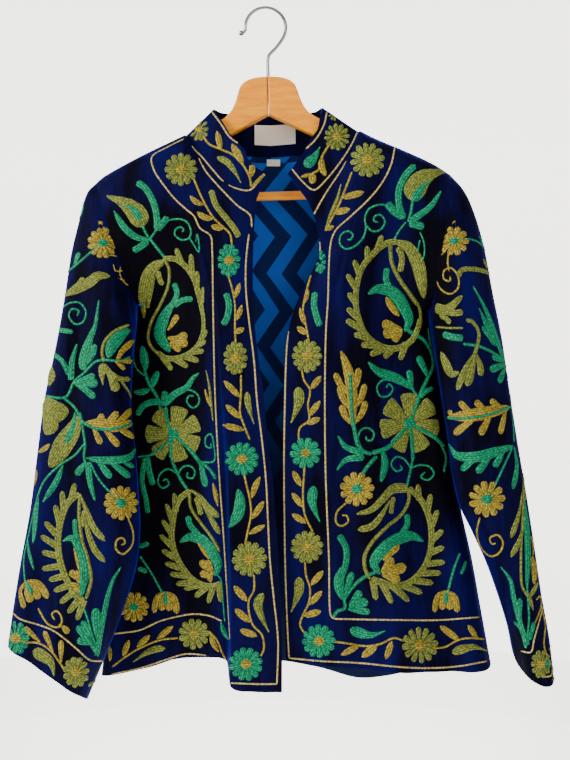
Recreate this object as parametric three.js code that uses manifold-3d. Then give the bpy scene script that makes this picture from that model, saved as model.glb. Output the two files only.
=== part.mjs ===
// A suzani jacket of embroidered navy velvet, hung open on a wooden hanger.
// Millimetres, +Z up. The front of the jacket faces -Y and the wearer's right is at -X.
// The origin is the inside of the hook's crown, where a nail or rail bears.

import * as THREE from "three";
import { mergeVertices } from "three/addons/utils/BufferGeometryUtils.js";
import Module from "manifold-3d";

const wasm = await Module();
wasm.setup();

// Cloth thicknesses and the gap between pieces
const velvetThickness = 2.2;
const collarThickness = 2.6;
const liningThickness = 1.0;
const labelThickness = 0.8;
const seamGap = 0.3;
const liningGap = 0.6;
const labelGap = 0.35;
const tabGap = 0.6;

// A collar and a sleeve are each drawn back from a panel by this share of the seam gap
const neckDrawBack = 0.9;
const armholeDrawBack = 1.4;

// How widely the cloth rounds over the shoulder line and round the side
const shoulderRounding = 34;
const sideRounding = 40;

// Shares of a front panel: where the neckline ends along its top, and the underarm down its side
const neckShare = 0.5;
const underarmShare = 0.31;

// The stand collar's height
const collarHeight = 49;

// The back's top is shoulder, neckline, shoulder, split at these shares
const backNeckStart = 0.29;
const backNeckEnd = 0.71;

// The right front's border band is folded forward along a pleat at this share of the panel
const pleatLip = 0.3;
const pleatWidth = 0.035;

// The lining hangs this far below the back's hem
const liningDrop = 1.5;

// Bare sewn labels: a woven one inside the collar, a size tab under it
const neckLabel = { width: 50, height: 24, rise: 0.52, x: 11 };
const sizeTab = { width: 16, height: 8, x: 9, z: -174.5 };

// Wooden hanger: two arms glued at the middle, a rod between their ends, a chromed wire hook
const hanger = {
  middle: 3,
  tilt: THREE.MathUtils.degToRad(1.8),
  thickness: 12,
  bevel: 2,
  rodRadius: 5.2,
  rodZ: -221,
  rodHalf: 176,
  wire: 1.9,
  boreLength: 60,
  crownRadius: 24,
  stemZ: -105,
  ball: 3.1,
};

// The jacket's two halves as they hang, which differ because the hanger sits a touch askew.
// Each table has a row for a section or a corner. Lengths are X, Y, Z in the object's frame.
const halves = {
  right: {
    inward: 1,
    shoulderTip: { x: -197.7, z: -205.5 },
    underarm: { x: -150, z: -350.5 },
    armholeDepth: 36,
    frontEdge: [
      { z: -229.3, x: -9.1 },
      { z: -266, x: -12.5 },
      { z: -347, x: -13.4 },
      { z: -410, x: -7.6 },
      { z: -451, x: -1.9 },
      { z: -515, x: 4.9 },
      { z: -597, x: 12.9 },
      { z: -726, x: 19.4 },
      { z: -786, x: 19.7 },
    ],
    sideSeam: [
      { z: -350.5, x: -150, y: 0 },
      { z: -385, x: -157, y: 9 },
      { z: -420, x: -162, y: 11 },
      { z: -470, x: -164, y: 11 },
      { z: -550, x: -170, y: 12 },
      { z: -650, x: -180, y: 14 },
      { z: -791, x: -197, y: 18.5 },
    ],
    hem: [
      { across: 0, x: 20.4, z: -785.5 },
      { across: 0.15, x: -12, z: -785 },
      { across: 0.265, x: -36, z: -781 },
      { across: 0.33, x: -45, z: -760 },
      { across: 0.55, x: -90, z: -758 },
      { across: 0.78, x: -146, z: -777 },
      { across: 1, x: -197, z: -791 },
    ],
    neckline: [
      { share: 0, x: -9.1, y: -32, z: -229.3 },
      { share: 0.19, x: -28.5, y: -34, z: -221.7 },
      { share: 0.36, x: -45.7, y: -33, z: -212.3 },
      { share: 0.57, x: -70.4, y: -26, z: -189.9 },
      { share: 0.81, x: -86.5, y: -17.5, z: -164.5 },
      { share: 0.9, x: -91.6, y: -10.5, z: -154.6 },
      { share: 1, x: -93.8, y: 0, z: -149.8 },
    ],
    shoulder: [
      { share: 0, x: -93.8, z: -149.8 },
      { share: 0.4, x: -135.1, z: -169.8 },
      { share: 0.66, x: -162.3, z: -183.9 },
      { share: 0.9, x: -188.2, z: -198.4 },
      { share: 1, x: -197.7, z: -205.5 },
    ],
    depth: [
      { down: 0, band: -33, valley: -33, flank: -37 },
      { down: 0.15, band: -38, valley: -38, flank: -37 },
      { down: 0.3, band: -43, valley: -41, flank: -20 },
      { down: 0.45, band: -49, valley: -38, flank: -14 },
      { down: 0.6, band: -54, valley: -33, flank: -10 },
      { down: 0.8, band: -58, valley: -29, flank: -6 },
      { down: 1, band: -61, valley: -27, flank: -3 },
    ],
    columns: [
      0, 0.05, 0.11, 0.17, 0.23, 0.275, 0.305, 0.335, 0.38, 0.44, 0.5, 0.56, 0.62, 0.68,
      0.74, 0.8, 0.86, 0.91, 0.95, 0.98, 1,
    ],
    folds: [
      { at: 0.52, width: 0.07, top: 0, hem: -4 },
      { at: 0.7, width: 0.08, top: 2, hem: 5 },
    ],
  },
  left: {
    inward: -1,
    shoulderTip: { x: 216.6, z: -196.5 },
    underarm: { x: 191.8, z: -357.5 },
    armholeDepth: 36,
    frontEdge: [
      { z: -232.9, x: 49.3 },
      { z: -252, x: 57 },
      { z: -281, x: 62.3 },
      { z: -300, x: 60.5 },
      { z: -327, x: 46.7 },
      { z: -350, x: 36 },
      { z: -382, x: 27 },
      { z: -421, x: 21.9 },
      { z: -500, x: 20.7 },
      { z: -636, x: 20.9 },
      { z: -755, x: 24.1 },
    ],
    sideSeam: [
      { z: -357.5, x: 191.8, y: 0 },
      { z: -395, x: 200.5, y: 8 },
      { z: -431, x: 209, y: 12 },
      { z: -470, x: 215.5, y: 12 },
      { z: -510, x: 221, y: 12 },
      { z: -545, x: 225.5, y: 12 },
      { z: -581, x: 230.5, y: 12 },
      { z: -651, x: 246, y: 14 },
      { z: -703, x: 255.5, y: 15.3 },
      { z: -775.5, x: 269, y: 18.4 },
    ],
    hem: [
      { across: 0, x: 24.1, z: -754.5 },
      { across: 0.12, x: 54, z: -758 },
      { across: 0.5, x: 146, z: -768 },
      { across: 0.8, x: 219, z: -776 },
      { across: 0.95, x: 258, z: -777.5 },
      { across: 1, x: 269, z: -775.5 },
    ],
    neckline: [
      { share: 0, x: 49.3, y: -33, z: -232.9 },
      { share: 0.11, x: 60.8, y: -33, z: -228.1 },
      { share: 0.37, x: 80.7, y: -29, z: -203.5 },
      { share: 0.64, x: 98.9, y: -22, z: -177 },
      { share: 0.79, x: 104.5, y: -17.5, z: -162 },
      { share: 0.91, x: 108.5, y: -10, z: -148.8 },
      { share: 1, x: 109.7, y: 0, z: -145.2 },
    ],
    shoulder: [
      { share: 0, x: 109.7, z: -145.2 },
      { share: 0.2, x: 130.4, z: -155.2 },
      { share: 0.52, x: 165.8, z: -170 },
      { share: 0.81, x: 196.5, z: -184.2 },
      { share: 1, x: 216.6, z: -196.5 },
    ],
    depth: [
      { down: 0, band: -33, valley: -36, flank: -36 },
      { down: 0.15, band: -36, valley: -42, flank: -34 },
      { down: 0.3, band: -39, valley: -45, flank: -23 },
      { down: 0.6, band: -44, valley: -48, flank: -19 },
      { down: 1, band: -47, valley: -50, flank: -21 },
    ],
    columns: [
      0, 0.06, 0.12, 0.18, 0.24, 0.29, 0.34, 0.39, 0.44, 0.5, 0.56, 0.62, 0.68, 0.74, 0.8,
      0.86, 0.91, 0.95, 0.98, 1,
    ],
    folds: [
      { at: 0.36, width: 0.06, top: 0, hem: -6 },
      { at: 0.56, width: 0.07, top: 1, hem: 5 },
      { at: 0.8, width: 0.06, top: 3, hem: -5 },
    ],
  },
};

// The back: its neckline, its hem from the wearer's right to left, and its depth behind the hanger
const backNeck = [
  { share: 0, x: -93.8, y: 0, z: -149.8 },
  { share: 0.14, x: -80, y: 19, z: -155 },
  { share: 0.32, x: -45, y: 32, z: -163 },
  { share: 0.5, x: 8, y: 36, z: -167 },
  { share: 0.68, x: 61, y: 32, z: -161 },
  { share: 0.86, x: 96, y: 19, z: -151 },
  { share: 1, x: 109.7, y: 0, z: -145.2 },
];
const backHem = [
  { across: 0, x: -197, z: -791 },
  { across: 0.22, x: -98, z: -775.5 },
  { across: 0.44, x: 10, z: -777 },
  { across: 0.55, x: 58, z: -785 },
  { across: 0.66, x: 108, z: -799 },
  { across: 0.74, x: 146, z: -796 },
  { across: 0.84, x: 190, z: -784 },
  { across: 1, x: 269, z: -775.5 },
];
const backDepth = [
  { down: 0, centre: 36, flank: 31 },
  { down: 0.12, centre: 33, flank: 32 },
  { down: 0.5, centre: 35, flank: 33 },
  { down: 1, centre: 39, flank: 35 },
];
const backFolds = [
  { at: 0.22, width: 0.05, top: 0, hem: 4 },
  { at: 0.4, width: 0.05, top: -1, hem: -5 },
  { at: 0.62, width: 0.06, top: 0, hem: 5 },
  { at: 0.8, width: 0.05, top: -1, hem: -4 },
];

// The collar's top edge, from the right front corner round the back to the left one
const collarTop = [
  { share: 0, x: 2.3, y: -30, z: -202.5 },
  { share: 0.061, x: -17.2, y: -31, z: -187.6 },
  { share: 0.1, x: -24, y: -28, z: -173 },
  { share: 0.163, x: -39.8, y: -20, z: -154 },
  { share: 0.218, x: -50.9, y: -13.5, z: -135 },
  { share: 0.245, x: -57, y: -9, z: -126 },
  { share: 0.27, x: -61.5, y: 0, z: -118.5 },
  { share: 0.338, x: -52, y: 20, z: -117 },
  { share: 0.4255, x: -25, y: 29, z: -118 },
  { share: 0.517, x: 5, y: 31, z: -118 },
  { share: 0.609, x: 35, y: 29, z: -117 },
  { share: 0.684, x: 58, y: 20, z: -116 },
  { share: 0.751, x: 67, y: 0, z: -116.5 },
  { share: 0.781, x: 66, y: -9.5, z: -123 },
  { share: 0.801, x: 64, y: -14, z: -131.5 },
  { share: 0.843, x: 60.3, y: -19, z: -147.7 },
  { share: 0.875, x: 53.1, y: -23, z: -158 },
  { share: 0.9225, x: 44.4, y: -27.5, z: -175 },
  { share: 0.963, x: 35.6, y: -30.5, z: -188.7 },
  { share: 1, x: 26.4, y: -32, z: -201.3 },
];

// Sleeve sections: the outer and inner edge of each ring, its half depth, how far its front drops
const sleeves = {
  right: [
    { down: 0, outX: -197.7, outY: 0, outZ: -205.5, inX: -150, inY: 0, inZ: -350.5, half: 36, drop: 0 },
    { down: 20, outX: -209, outY: -3, outZ: -219, inX: -151, inY: -12, inZ: -364, half: 35, drop: 0 },
    { down: 64, outX: -219, outY: -9, outZ: -260, inX: -149.5, inY: -25, inZ: -384, half: 32, drop: 0 },
    { down: 92, outX: -224.5, outY: -14, outZ: -288, inX: -151, inY: -28, inZ: -404, half: 30, drop: 0 },
    { down: 150, outX: -231.5, outY: -22, outZ: -345, inX: -152, inY: -35, inZ: -438, half: 27, drop: 0 },
    { down: 208, outX: -240.5, outY: -29, outZ: -403, inX: -152.5, inY: -38, inZ: -475, half: 25, drop: 0 },
    { down: 264, outX: -251, outY: -34, outZ: -457, inX: -147.5, inY: -42, inZ: -512, half: 24, drop: -1 },
    { down: 325, outX: -258.5, outY: -37, outZ: -518, inX: -144, inY: -41, inZ: -558, half: 24, drop: -2 },
    { down: 394, outX: -266.5, outY: -39, outZ: -586, inX: -141.5, inY: -43, inZ: -609, half: 25, drop: -3 },
    { down: 452, outX: -276.5, outY: -40, outZ: -643, inX: -147, inY: -44, inZ: -655, half: 26, drop: -4 },
    { down: 507, outX: -285, outY: -41, outZ: -698, inX: -170, inY: -44, inZ: -724, half: 26, drop: -6 },
    { down: 550, outX: -290.5, outY: -42, outZ: -740, inX: -201, inY: -44, inZ: -799, half: 25, drop: -8 },
  ],
  left: [
    { down: 0, outX: 216.6, outY: 0, outZ: -196.5, inX: 191.8, inY: 0, inZ: -357.5, half: 36, drop: 0 },
    { down: 27, outX: 232.5, outY: -2, outZ: -215, inX: 194, inY: -11, inZ: -373, half: 35, drop: 0 },
    { down: 56, outX: 243.8, outY: -5, outZ: -240.6, inX: 196, inY: -22, inZ: -402, half: 33, drop: 0 },
    { down: 97, outX: 254.7, outY: -8, outZ: -280, inX: 200, inY: -26, inZ: -435, half: 32, drop: 0 },
    { down: 153, outX: 264.5, outY: -11, outZ: -335, inX: 205.5, inY: -28, inZ: -473, half: 31, drop: 1 },
    { down: 205, outX: 274.3, outY: -14, outZ: -387, inX: 210.5, inY: -30, inZ: -508, half: 31, drop: 1 },
    { down: 259, outX: 281.5, outY: -16, outZ: -440, inX: 214.5, inY: -30, inZ: -543, half: 32, drop: 2 },
    { down: 318, outX: 290, outY: -18, outZ: -498, inX: 223.5, inY: -25, inZ: -580, half: 34, drop: 3 },
    { down: 391, outX: 301.6, outY: -20, outZ: -571, inX: 241.5, inY: -11, inZ: -615, half: 35, drop: 5 },
    { down: 446, outX: 309.5, outY: -21, outZ: -625, inX: 257, inY: -14, inZ: -650, half: 35, drop: 8 },
    { down: 502, outX: 317.5, outY: -22, outZ: -680, inX: 270.5, inY: -17, inZ: -689, half: 34, drop: 12 },
    { down: 551, outX: 326.4, outY: -23, outZ: -728, inX: 280.5, inY: -19, inZ: -723, half: 32, drop: 17 },
    { down: 595, outX: 331.2, outY: -24, outZ: -772, inX: 285.5, inY: -20, inZ: -749, half: 30, drop: 20 },
  ],
};

// Lengthwise folds in a sleeve: where round the ring (0 outer edge, 0.25 front), how wide and how high
const sleeveFolds = {
  right: [
    { at: 0.12, width: 0.05, rise: 3.5 },
    { at: 0.2, width: 0.04, rise: -3 },
    { at: 0.36, width: 0.05, rise: 3 },
    { at: 0.68, width: 0.06, rise: -4 },
  ],
  left: [
    { at: 0.16, width: 0.05, rise: -2.5 },
    { at: 0.4, width: 0.055, rise: -7 },
    { at: 0.32, width: 0.05, rise: 4 },
    { at: 0.72, width: 0.07, rise: -5 },
  ],
};
const sleeveRings = 21;

// Stations down half an armhole, in degrees from the shoulder tip; panels and sleeves share them
const armholeStations = [0, 10, 20, 33, 48, 64, 82, 100, 118, 136, 152, 166, 180];
const ringSquareness = 2.3;

// Small tools
const vector = (x, y, z) => new THREE.Vector3(x, y, z);
const clamp01 = (t) => Math.min(1, Math.max(0, t));
const ease = (t) => clamp01(t) ** 2 * (3 - 2 * clamp01(t));
const bump = (t, at, width) => Math.exp(-(((t - at) / width) ** 2));

// How much of a boundary's own depth is kept at this distance from it: a quarter round
function edgeHold(distance, radius) {
  const t = 1 - clamp01(distance / radius);
  return 1 - Math.sqrt(1 - t * t);
}

// The row of a table at a value of its key column, every column eased through its neighbours
function rowAt(table, key, value) {
  const rising = table[table.length - 1][key] > table[0][key];
  let i = 0;
  while (i < table.length - 2 && (rising ? value > table[i + 1][key] : value < table[i + 1][key])) i++;
  const slope = (k, column) => {
    const before = table[Math.max(k - 1, 0)];
    const after = table[Math.min(k + 1, table.length - 1)];
    return (after[column] - before[column]) / (after[key] - before[key]);
  };
  const low = table[i];
  const high = table[i + 1];
  const span = high[key] - low[key];
  const t = clamp01((value - low[key]) / span);
  const row = {};
  for (const column of Object.keys(low)) {
    row[column] =
      (2 * t ** 3 - 3 * t ** 2 + 1) * low[column] +
      (t ** 3 - 2 * t ** 2 + t) * span * slope(i, column) +
      (3 * t ** 2 - 2 * t ** 3) * high[column] +
      (t ** 3 - t ** 2) * span * slope(i + 1, column);
  }
  return row;
}

// Armholes: each is a flat ring through the shoulder tip and the underarm
function armholeFrame(half) {
  const top = vector(half.shoulderTip.x, 0, half.shoulderTip.z);
  const low = vector(half.underarm.x, 0, half.underarm.z);
  const up = top.clone().sub(low);
  const toBody = vector(Math.abs(up.z) * half.inward, 0, -up.x * half.inward * Math.sign(up.z)).normalize();
  return { middle: top.add(low).multiplyScalar(0.5), up: up.multiplyScalar(0.5), toBody };
}

// Squared cosine and sine, so that a ring is a little boxier than an ellipse
function squared(angle) {
  const power = 2 / ringSquareness;
  const shape = (v) => Math.sign(v) * Math.abs(v) ** power;
  return { c: shape(Math.cos(angle)), s: shape(Math.sin(angle)) };
}

// A point of the armhole: angle 0 is the shoulder tip, a quarter turn is the front
function armholePoint(half, angle) {
  const { middle, up } = armholeFrame(half);
  const { c, s } = squared(angle);
  return middle.addScaledVector(up, c).add(vector(0, -half.armholeDepth * s, 0));
}

// How far round the armhole a panel has come when it is this share down
const armholeTurn = (down) => Math.acos(1 - (2 * Math.min(down, underarmShare)) / underarmShare);

// The way into the cloth at the armhole, shared by the sleeve and the panels that meet there
function armholeInward(half, angle) {
  const { up, toBody } = armholeFrame(half);
  const radial = up.normalize().multiplyScalar(Math.cos(angle)).add(vector(0, -Math.sin(angle), 0));
  return radial.negate().addScaledVector(toBody, 0.9 * Math.max(0, -Math.cos(angle)) ** 2).normalize();
}

// Panel boundaries
function sideBoundary(half, down, sense) {
  if (down <= underarmShare) return armholePoint(half, sense * armholeTurn(down));
  const seam = half.sideSeam;
  const share = (down - underarmShare) / (1 - underarmShare);
  const z = seam[0].z + (seam[seam.length - 1].z - seam[0].z) * share;
  const row = rowAt(seam, "z", z);
  return vector(row.x, row.y, z);
}

function frontTop(half, across) {
  const neck = half.neckline;
  if (across <= neckShare) {
    const row = rowAt(neck, "share", across / neckShare);
    return vector(row.x, row.y, row.z);
  }
  const row = rowAt(half.shoulder, "share", (across - neckShare) / (1 - neckShare));
  return vector(row.x, 0, row.z);
}

function frontEdgePoint(half, down) {
  const edge = half.frontEdge;
  const z = edge[0].z + (edge[edge.length - 1].z - edge[0].z) * down;
  return vector(rowAt(edge, "z", z).x, 0, z);
}

function hemPoint(hem, across) {
  const row = rowAt(hem, "across", across);
  return vector(row.x, 0, row.z);
}

// The soft folds that run down a panel and deepen to the hem
function foldDepth(folds, across, down) {
  return folds.reduce((sum, f) => sum + bump(across, f.at, f.width) * (f.top + (f.hem - f.top) * down) * ease(down * 4), 0);
}

// How deep a front lies: the band, the pleat's valley, then the flank that the sleeve hangs over
function frontDepth(half, across, down) {
  const row = rowAt(half.depth, "down", down);
  const pastLip = ease((across - pleatLip + pleatWidth) / (2 * pleatWidth));
  const toFlank = ease((across - 0.36) / 0.5);
  const inner = row.valley + (row.flank - row.valley) * toFlank;
  const lipped = half.inward > 0 ? row.band + (inner - row.band) * pastLip : 0;
  const plain = row.band + (inner - row.band) * ease(across / 0.3);
  return (half.inward > 0 ? lipped : plain) - foldDepth(half.folds, across, down);
}

function backDepthAt(across, down) {
  const row = rowAt(backDepth, "down", down);
  return row.centre + (row.flank - row.centre) * (2 * across - 1) ** 2 + foldDepth(backFolds, across, down);
}

// A front panel's point: its boundaries carried across the panel, with the depth laid in
function frontPoint(half, across, down) {
  const top = frontTop(half, across);
  const hem = hemPoint(half.hem, across);
  const edge = frontEdgePoint(half, down);
  const side = sideBoundary(half, down, 1);
  const corners = [frontTop(half, 0), frontTop(half, 1), hemPoint(half.hem, 0), hemPoint(half.hem, 1)];
  const point = vector(0, 0, 0);
  for (const axis of ["x", "z"]) {
    point[axis] =
      (1 - down) * top[axis] + down * hem[axis] + (1 - across) * edge[axis] + across * side[axis] -
      (1 - down) * ((1 - across) * corners[0][axis] + across * corners[1][axis]) -
      down * ((1 - across) * corners[2][axis] + across * corners[3][axis]);
  }
  const fall = Math.abs(hem.z - top.z) * down;
  const reach = Math.abs(side.x - edge.x) * (1 - across);
  const holdTop = edgeHold(fall, shoulderRounding);
  const holdSide = edgeHold(reach, sideRounding);
  const offTop = top.y - frontDepth(half, across, 0);
  const offSide = side.y - frontDepth(half, 1, down);
  const offCorner = -frontDepth(half, 1, 0);
  point.y = frontDepth(half, across, down) + offTop * holdTop + offSide * holdSide - offCorner * holdTop * holdSide;
  return point;
}

function backTop(across) {
  if (across >= backNeckStart && across <= backNeckEnd) {
    const row = rowAt(backNeck, "share", (across - backNeckStart) / (backNeckEnd - backNeckStart));
    return vector(row.x, row.y, row.z);
  }
  if (across < backNeckStart) return frontTop(halves.right, 1 - (across / backNeckStart) * (1 - neckShare));
  return frontTop(halves.left, neckShare + ((across - backNeckEnd) / (1 - backNeckEnd)) * (1 - neckShare));
}

function backPoint(across, down) {
  const top = backTop(across);
  const hem = hemPoint(backHem, across);
  const right = sideBoundary(halves.right, down, -1);
  const left = sideBoundary(halves.left, down, -1);
  const corners = [backTop(0), backTop(1), hemPoint(backHem, 0), hemPoint(backHem, 1)];
  const point = vector(0, 0, 0);
  for (const axis of ["x", "z"]) {
    point[axis] =
      (1 - down) * top[axis] + down * hem[axis] + (1 - across) * right[axis] + across * left[axis] -
      (1 - down) * ((1 - across) * corners[0][axis] + across * corners[1][axis]) -
      down * ((1 - across) * corners[2][axis] + across * corners[3][axis]);
  }
  const width = left.x - right.x;
  const holdTop = edgeHold(Math.abs(hem.z - top.z) * down, shoulderRounding);
  const holdRight = edgeHold(width * across, sideRounding);
  const holdLeft = edgeHold(width * (1 - across), sideRounding);
  const offTop = top.y - backDepthAt(across, 0);
  const offRight = right.y - backDepthAt(0, down);
  const offLeft = left.y - backDepthAt(1, down);
  point.y =
    backDepthAt(across, down) + offTop * holdTop + offRight * holdRight + offLeft * holdLeft +
    backDepthAt(0, 0) * holdTop * holdRight + backDepthAt(1, 0) * holdTop * holdLeft;
  return point;
}

// A sheet is a grid of points, first across, then down, with the way into the cloth at each
function sheet(columns, rows, pointAt, inside, closed = false) {
  const points = columns.map((u) => rows.map((v) => pointAt(u, v)));
  const count = columns.length;
  const inward = points.map((line, i) =>
    line.map((point, j) => {
      const before = closed ? points[(i - 1 + count) % count] : points[Math.max(i - 1, 0)];
      const after = closed ? points[(i + 1) % count] : points[Math.min(i + 1, count - 1)];
      const across = after[j].clone().sub(before[j]);
      const down = line[Math.min(j + 1, rows.length - 1)].clone().sub(line[Math.max(j - 1, 0)]);
      const normal = across.cross(down).normalize();
      return normal.dot(inside(point, columns[i], rows[j])) < 0 ? normal.negate() : normal;
    }),
  );
  return { points, inward, columns, rows, closed };
}

// A sheet given its thickness: outer face, inner face and the strips round its open edges
function wall(cloth, thickness) {
  const { points, inward, closed } = cloth;
  const count = points.length;
  const rows = points[0].length;
  const positions = [];
  for (const side of [0, thickness])
    points.forEach((line, i) =>
      line.forEach((p, j) => positions.push(...p.clone().addScaledVector(inward[i][j], side).toArray())),
    );
  const at = (i, j, side) => side * count * rows + (i % count) * rows + j;
  const index = [];
  const quad = (a, b, c, d) => index.push(a, b, c, a, c, d);
  const spans = closed ? count : count - 1;
  for (let i = 0; i < spans; i++)
    for (let j = 0; j < rows - 1; j++) {
      quad(at(i, j, 0), at(i, j + 1, 0), at(i + 1, j + 1, 0), at(i + 1, j, 0));
      quad(at(i, j, 1), at(i + 1, j, 1), at(i + 1, j + 1, 1), at(i, j + 1, 1));
    }
  for (let i = 0; i < spans; i++) {
    quad(at(i, 0, 0), at(i + 1, 0, 0), at(i + 1, 0, 1), at(i, 0, 1));
    quad(at(i, rows - 1, 0), at(i, rows - 1, 1), at(i + 1, rows - 1, 1), at(i + 1, rows - 1, 0));
  }
  for (let j = 0; !closed && j < rows - 1; j++) {
    quad(at(0, j, 0), at(0, j, 1), at(0, j + 1, 1), at(0, j + 1, 0));
    quad(at(count - 1, j, 0), at(count - 1, j + 1, 0), at(count - 1, j + 1, 1), at(count - 1, j, 1));
  }
  return closedGeometry(positions, index);
}

// Faces are turned to point outwards, whichever way the sheet ran
function closedGeometry(positions, index) {
  const corner = (k) => vector(positions[3 * index[k]], positions[3 * index[k] + 1], positions[3 * index[k] + 2]);
  let volume = 0;
  for (let k = 0; k < index.length; k += 3) volume += corner(k).dot(corner(k + 1).cross(corner(k + 2)));
  if (volume < 0) index.reverse();
  const geometry = new THREE.BufferGeometry();
  geometry.setAttribute("position", new THREE.Float32BufferAttribute(positions, 3));
  geometry.setIndex(index);
  geometry.computeVertexNormals();
  return geometry;
}

// A panel's rows: beside the armhole its stations, below it even steps to the hem
const armholeRows = armholeStations.map((degrees) => (underarmShare * (1 - Math.cos((degrees * Math.PI) / 180))) / 2);
const rowsBelow = Array.from({ length: 14 }, (_, k) => underarmShare + ((k + 1) / 14) * (1 - underarmShare));
const panelRows = [...armholeRows, ...rowsBelow];
const backColumns = [
  0, 0.015, 0.04, 0.075, 0.12, 0.175, 0.23, backNeckStart, 0.32, 0.36, 0.4, 0.45, 0.5, 0.55, 0.6, 0.64,
  0.68, backNeckEnd, 0.77, 0.825, 0.88, 0.925, 0.96, 0.985, 1,
];

// Both fronts are laid out from the wearer's right to left, as the collar is
const frontSheets = {};
for (const side of ["right", "left"]) {
  const half = halves[side];
  const columns = half.inward > 0 ? half.columns : [...half.columns].reverse();
  frontSheets[side] = sheet(columns, panelRows, (u, v) => frontPoint(half, u, v), (p, u, v) =>
    vector(0.6 * half.inward * ease((u - 0.8) * 5), 1, -0.8 * ease(1 - v * 12)),
  );
}
const backSheet = sheet(backColumns, panelRows, backPoint, (p, u, v) =>
  vector(0.6 * (ease(1 - u * 5) - ease(u * 5 - 4)), -1, -0.8 * ease(1 - v * 12)),
);

// The collar stands on the neckline: its foot has the panels' own points
const rightNeck = halves.right.columns.filter((u) => u <= neckShare);
const middleNeck = backColumns.filter((u) => u > backNeckStart && u < backNeckEnd);
const leftNeck = halves.left.columns.filter((u) => u <= neckShare).reverse();
const collarFoot = [
  ...rightNeck.map((u) => frontTop(halves.right, u)),
  ...middleNeck.map((u) => backTop(u)),
  ...leftNeck.map((u) => frontTop(halves.left, u)),
];
const collarRows = [0, 0.25, 0.5, 0.75, 1];
const footLength = [0];
for (let i = 1; i < collarFoot.length; i++) footLength.push(footLength[i - 1] + collarFoot[i].distanceTo(collarFoot[i - 1]));
const neckCentre = vector(8, 2, -165);
const collarSheet = sheet(
  collarFoot.map((_, i) => i),
  collarRows,
  (i, v) => {
    const row = rowAt(collarTop, "share", footLength[i] / footLength[footLength.length - 1]);
    return collarFoot[i].clone().lerp(vector(row.x, row.y, row.z), v);
  },
  (p, i) => {
    const inFront = i < 5 || i > collarFoot.length - 6;
    return inFront ? vector(0, 1, -0.2) : neckCentre.clone().sub(p).setZ(-6);
  },
);

// Seams: both sides share one way into the cloth, and each is drawn back by its share of the gap
function joinNeckline() {
  const spots = [
    ...rightNeck.map((u) => [[frontSheets.right, frontSheets.right.columns.indexOf(u)]]),
    ...middleNeck.map((u) => [[backSheet, backColumns.indexOf(u)]]),
    ...leftNeck.map((u) => [[frontSheets.left, frontSheets.left.columns.indexOf(u)]]),
  ];
  spots[rightNeck.length - 1].push([backSheet, backColumns.indexOf(backNeckStart)]);
  spots[rightNeck.length + middleNeck.length].push([backSheet, backColumns.indexOf(backNeckEnd)]);
  spots.forEach((panels, i) => {
    const shared = collarSheet.inward[i][0].clone();
    panels.forEach(([cloth, column]) => shared.add(cloth.inward[column][0]));
    shared.normalize();
    const tangent = collarFoot[Math.min(i + 1, spots.length - 1)].clone().sub(collarFoot[Math.max(i - 1, 0)]);
    const away = tangent.cross(shared).normalize();
    if (away.dot(collarSheet.points[i][1].clone().sub(collarSheet.points[i][0])) < 0) away.negate();
    collarSheet.inward[i][0] = shared;
    collarSheet.points[i][0] = collarSheet.points[i][0].clone().addScaledVector(away, neckDrawBack * seamGap);
    panels.forEach(([cloth, column]) => {
      cloth.inward[column][0] = shared;
      cloth.points[column][0] = cloth.points[column][0].clone().addScaledVector(away, -neckDrawBack * seamGap);
    });
  });
}

function joinShoulders() {
  const slope = (half) => {
    const run = Math.abs(half.shoulderTip.x - half.shoulder[0].x);
    const fall = half.shoulder[0].z - half.shoulderTip.z;
    return vector(half.inward * fall, 0, -run).normalize();
  };
  for (const side of ["right", "left"]) {
    const half = halves[side];
    const down = slope(half);
    frontSheets[side].columns.forEach((u, i) => {
      if (u < neckShare) return;
      frontSheets[side].points[i][0].y -= seamGap / 2;
      if (u > neckShare) frontSheets[side].inward[i][0] = down.clone();
    });
  }
  backColumns.forEach((u, i) => {
    if (u > backNeckStart && u < backNeckEnd) return;
    backSheet.points[i][0].y += seamGap / 2;
    const down = slope(u < 0.5 ? halves.right : halves.left);
    if (u < backNeckStart || u > backNeckEnd) backSheet.inward[i][0] = down;
  });
}

function joinSides() {
  for (const side of ["right", "left"]) {
    const half = halves[side];
    const { toBody } = armholeFrame(half);
    const joined = [
      [frontSheets[side], frontSheets[side].columns.indexOf(1), 1],
      [backSheet, side === "right" ? 0 : backColumns.length - 1, -1],
    ];
    for (const [cloth, column, sense] of joined)
      panelRows.forEach((v, j) => {
        const angle = sense * armholeTurn(v);
        const point = cloth.points[column][j];
        if (v <= underarmShare) {
          cloth.points[column][j] = point.addScaledVector(toBody, armholeDrawBack * seamGap);
          cloth.inward[column][j] = armholeInward(half, angle);
        } else cloth.inward[column][j] = vector(half.inward, 0, 0);
        if (v >= underarmShare) cloth.points[column][j].y -= (sense * seamGap) / 2;
      });
  }
}

joinNeckline();
joinShoulders();
joinSides();

// Sleeves: rings from the armhole to the cuff
function sleevePoint(side, share, down) {
  const row = rowAt(sleeves[side], "down", down);
  const angle = share * 2 * Math.PI;
  const { c, s } = squared(angle);
  const outer = vector(row.outX, row.outY, row.outZ);
  const inner = vector(row.inX, row.inY, row.inZ);
  const reach = outer.clone().sub(inner).multiplyScalar(0.5);
  const settled = ease((down - 20) / 140);
  const wave = sleeveFolds[side].reduce((sum, f) => sum + f.rise * bump(share, f.at, f.width), 0) * settled;
  const point = outer.add(inner).multiplyScalar(0.5).addScaledVector(reach, c);
  point.y -= row.half * s + wave * Math.sign(s) * Math.abs(s) ** 0.5;
  point.z -= row.drop * s;
  return point;
}

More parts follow.
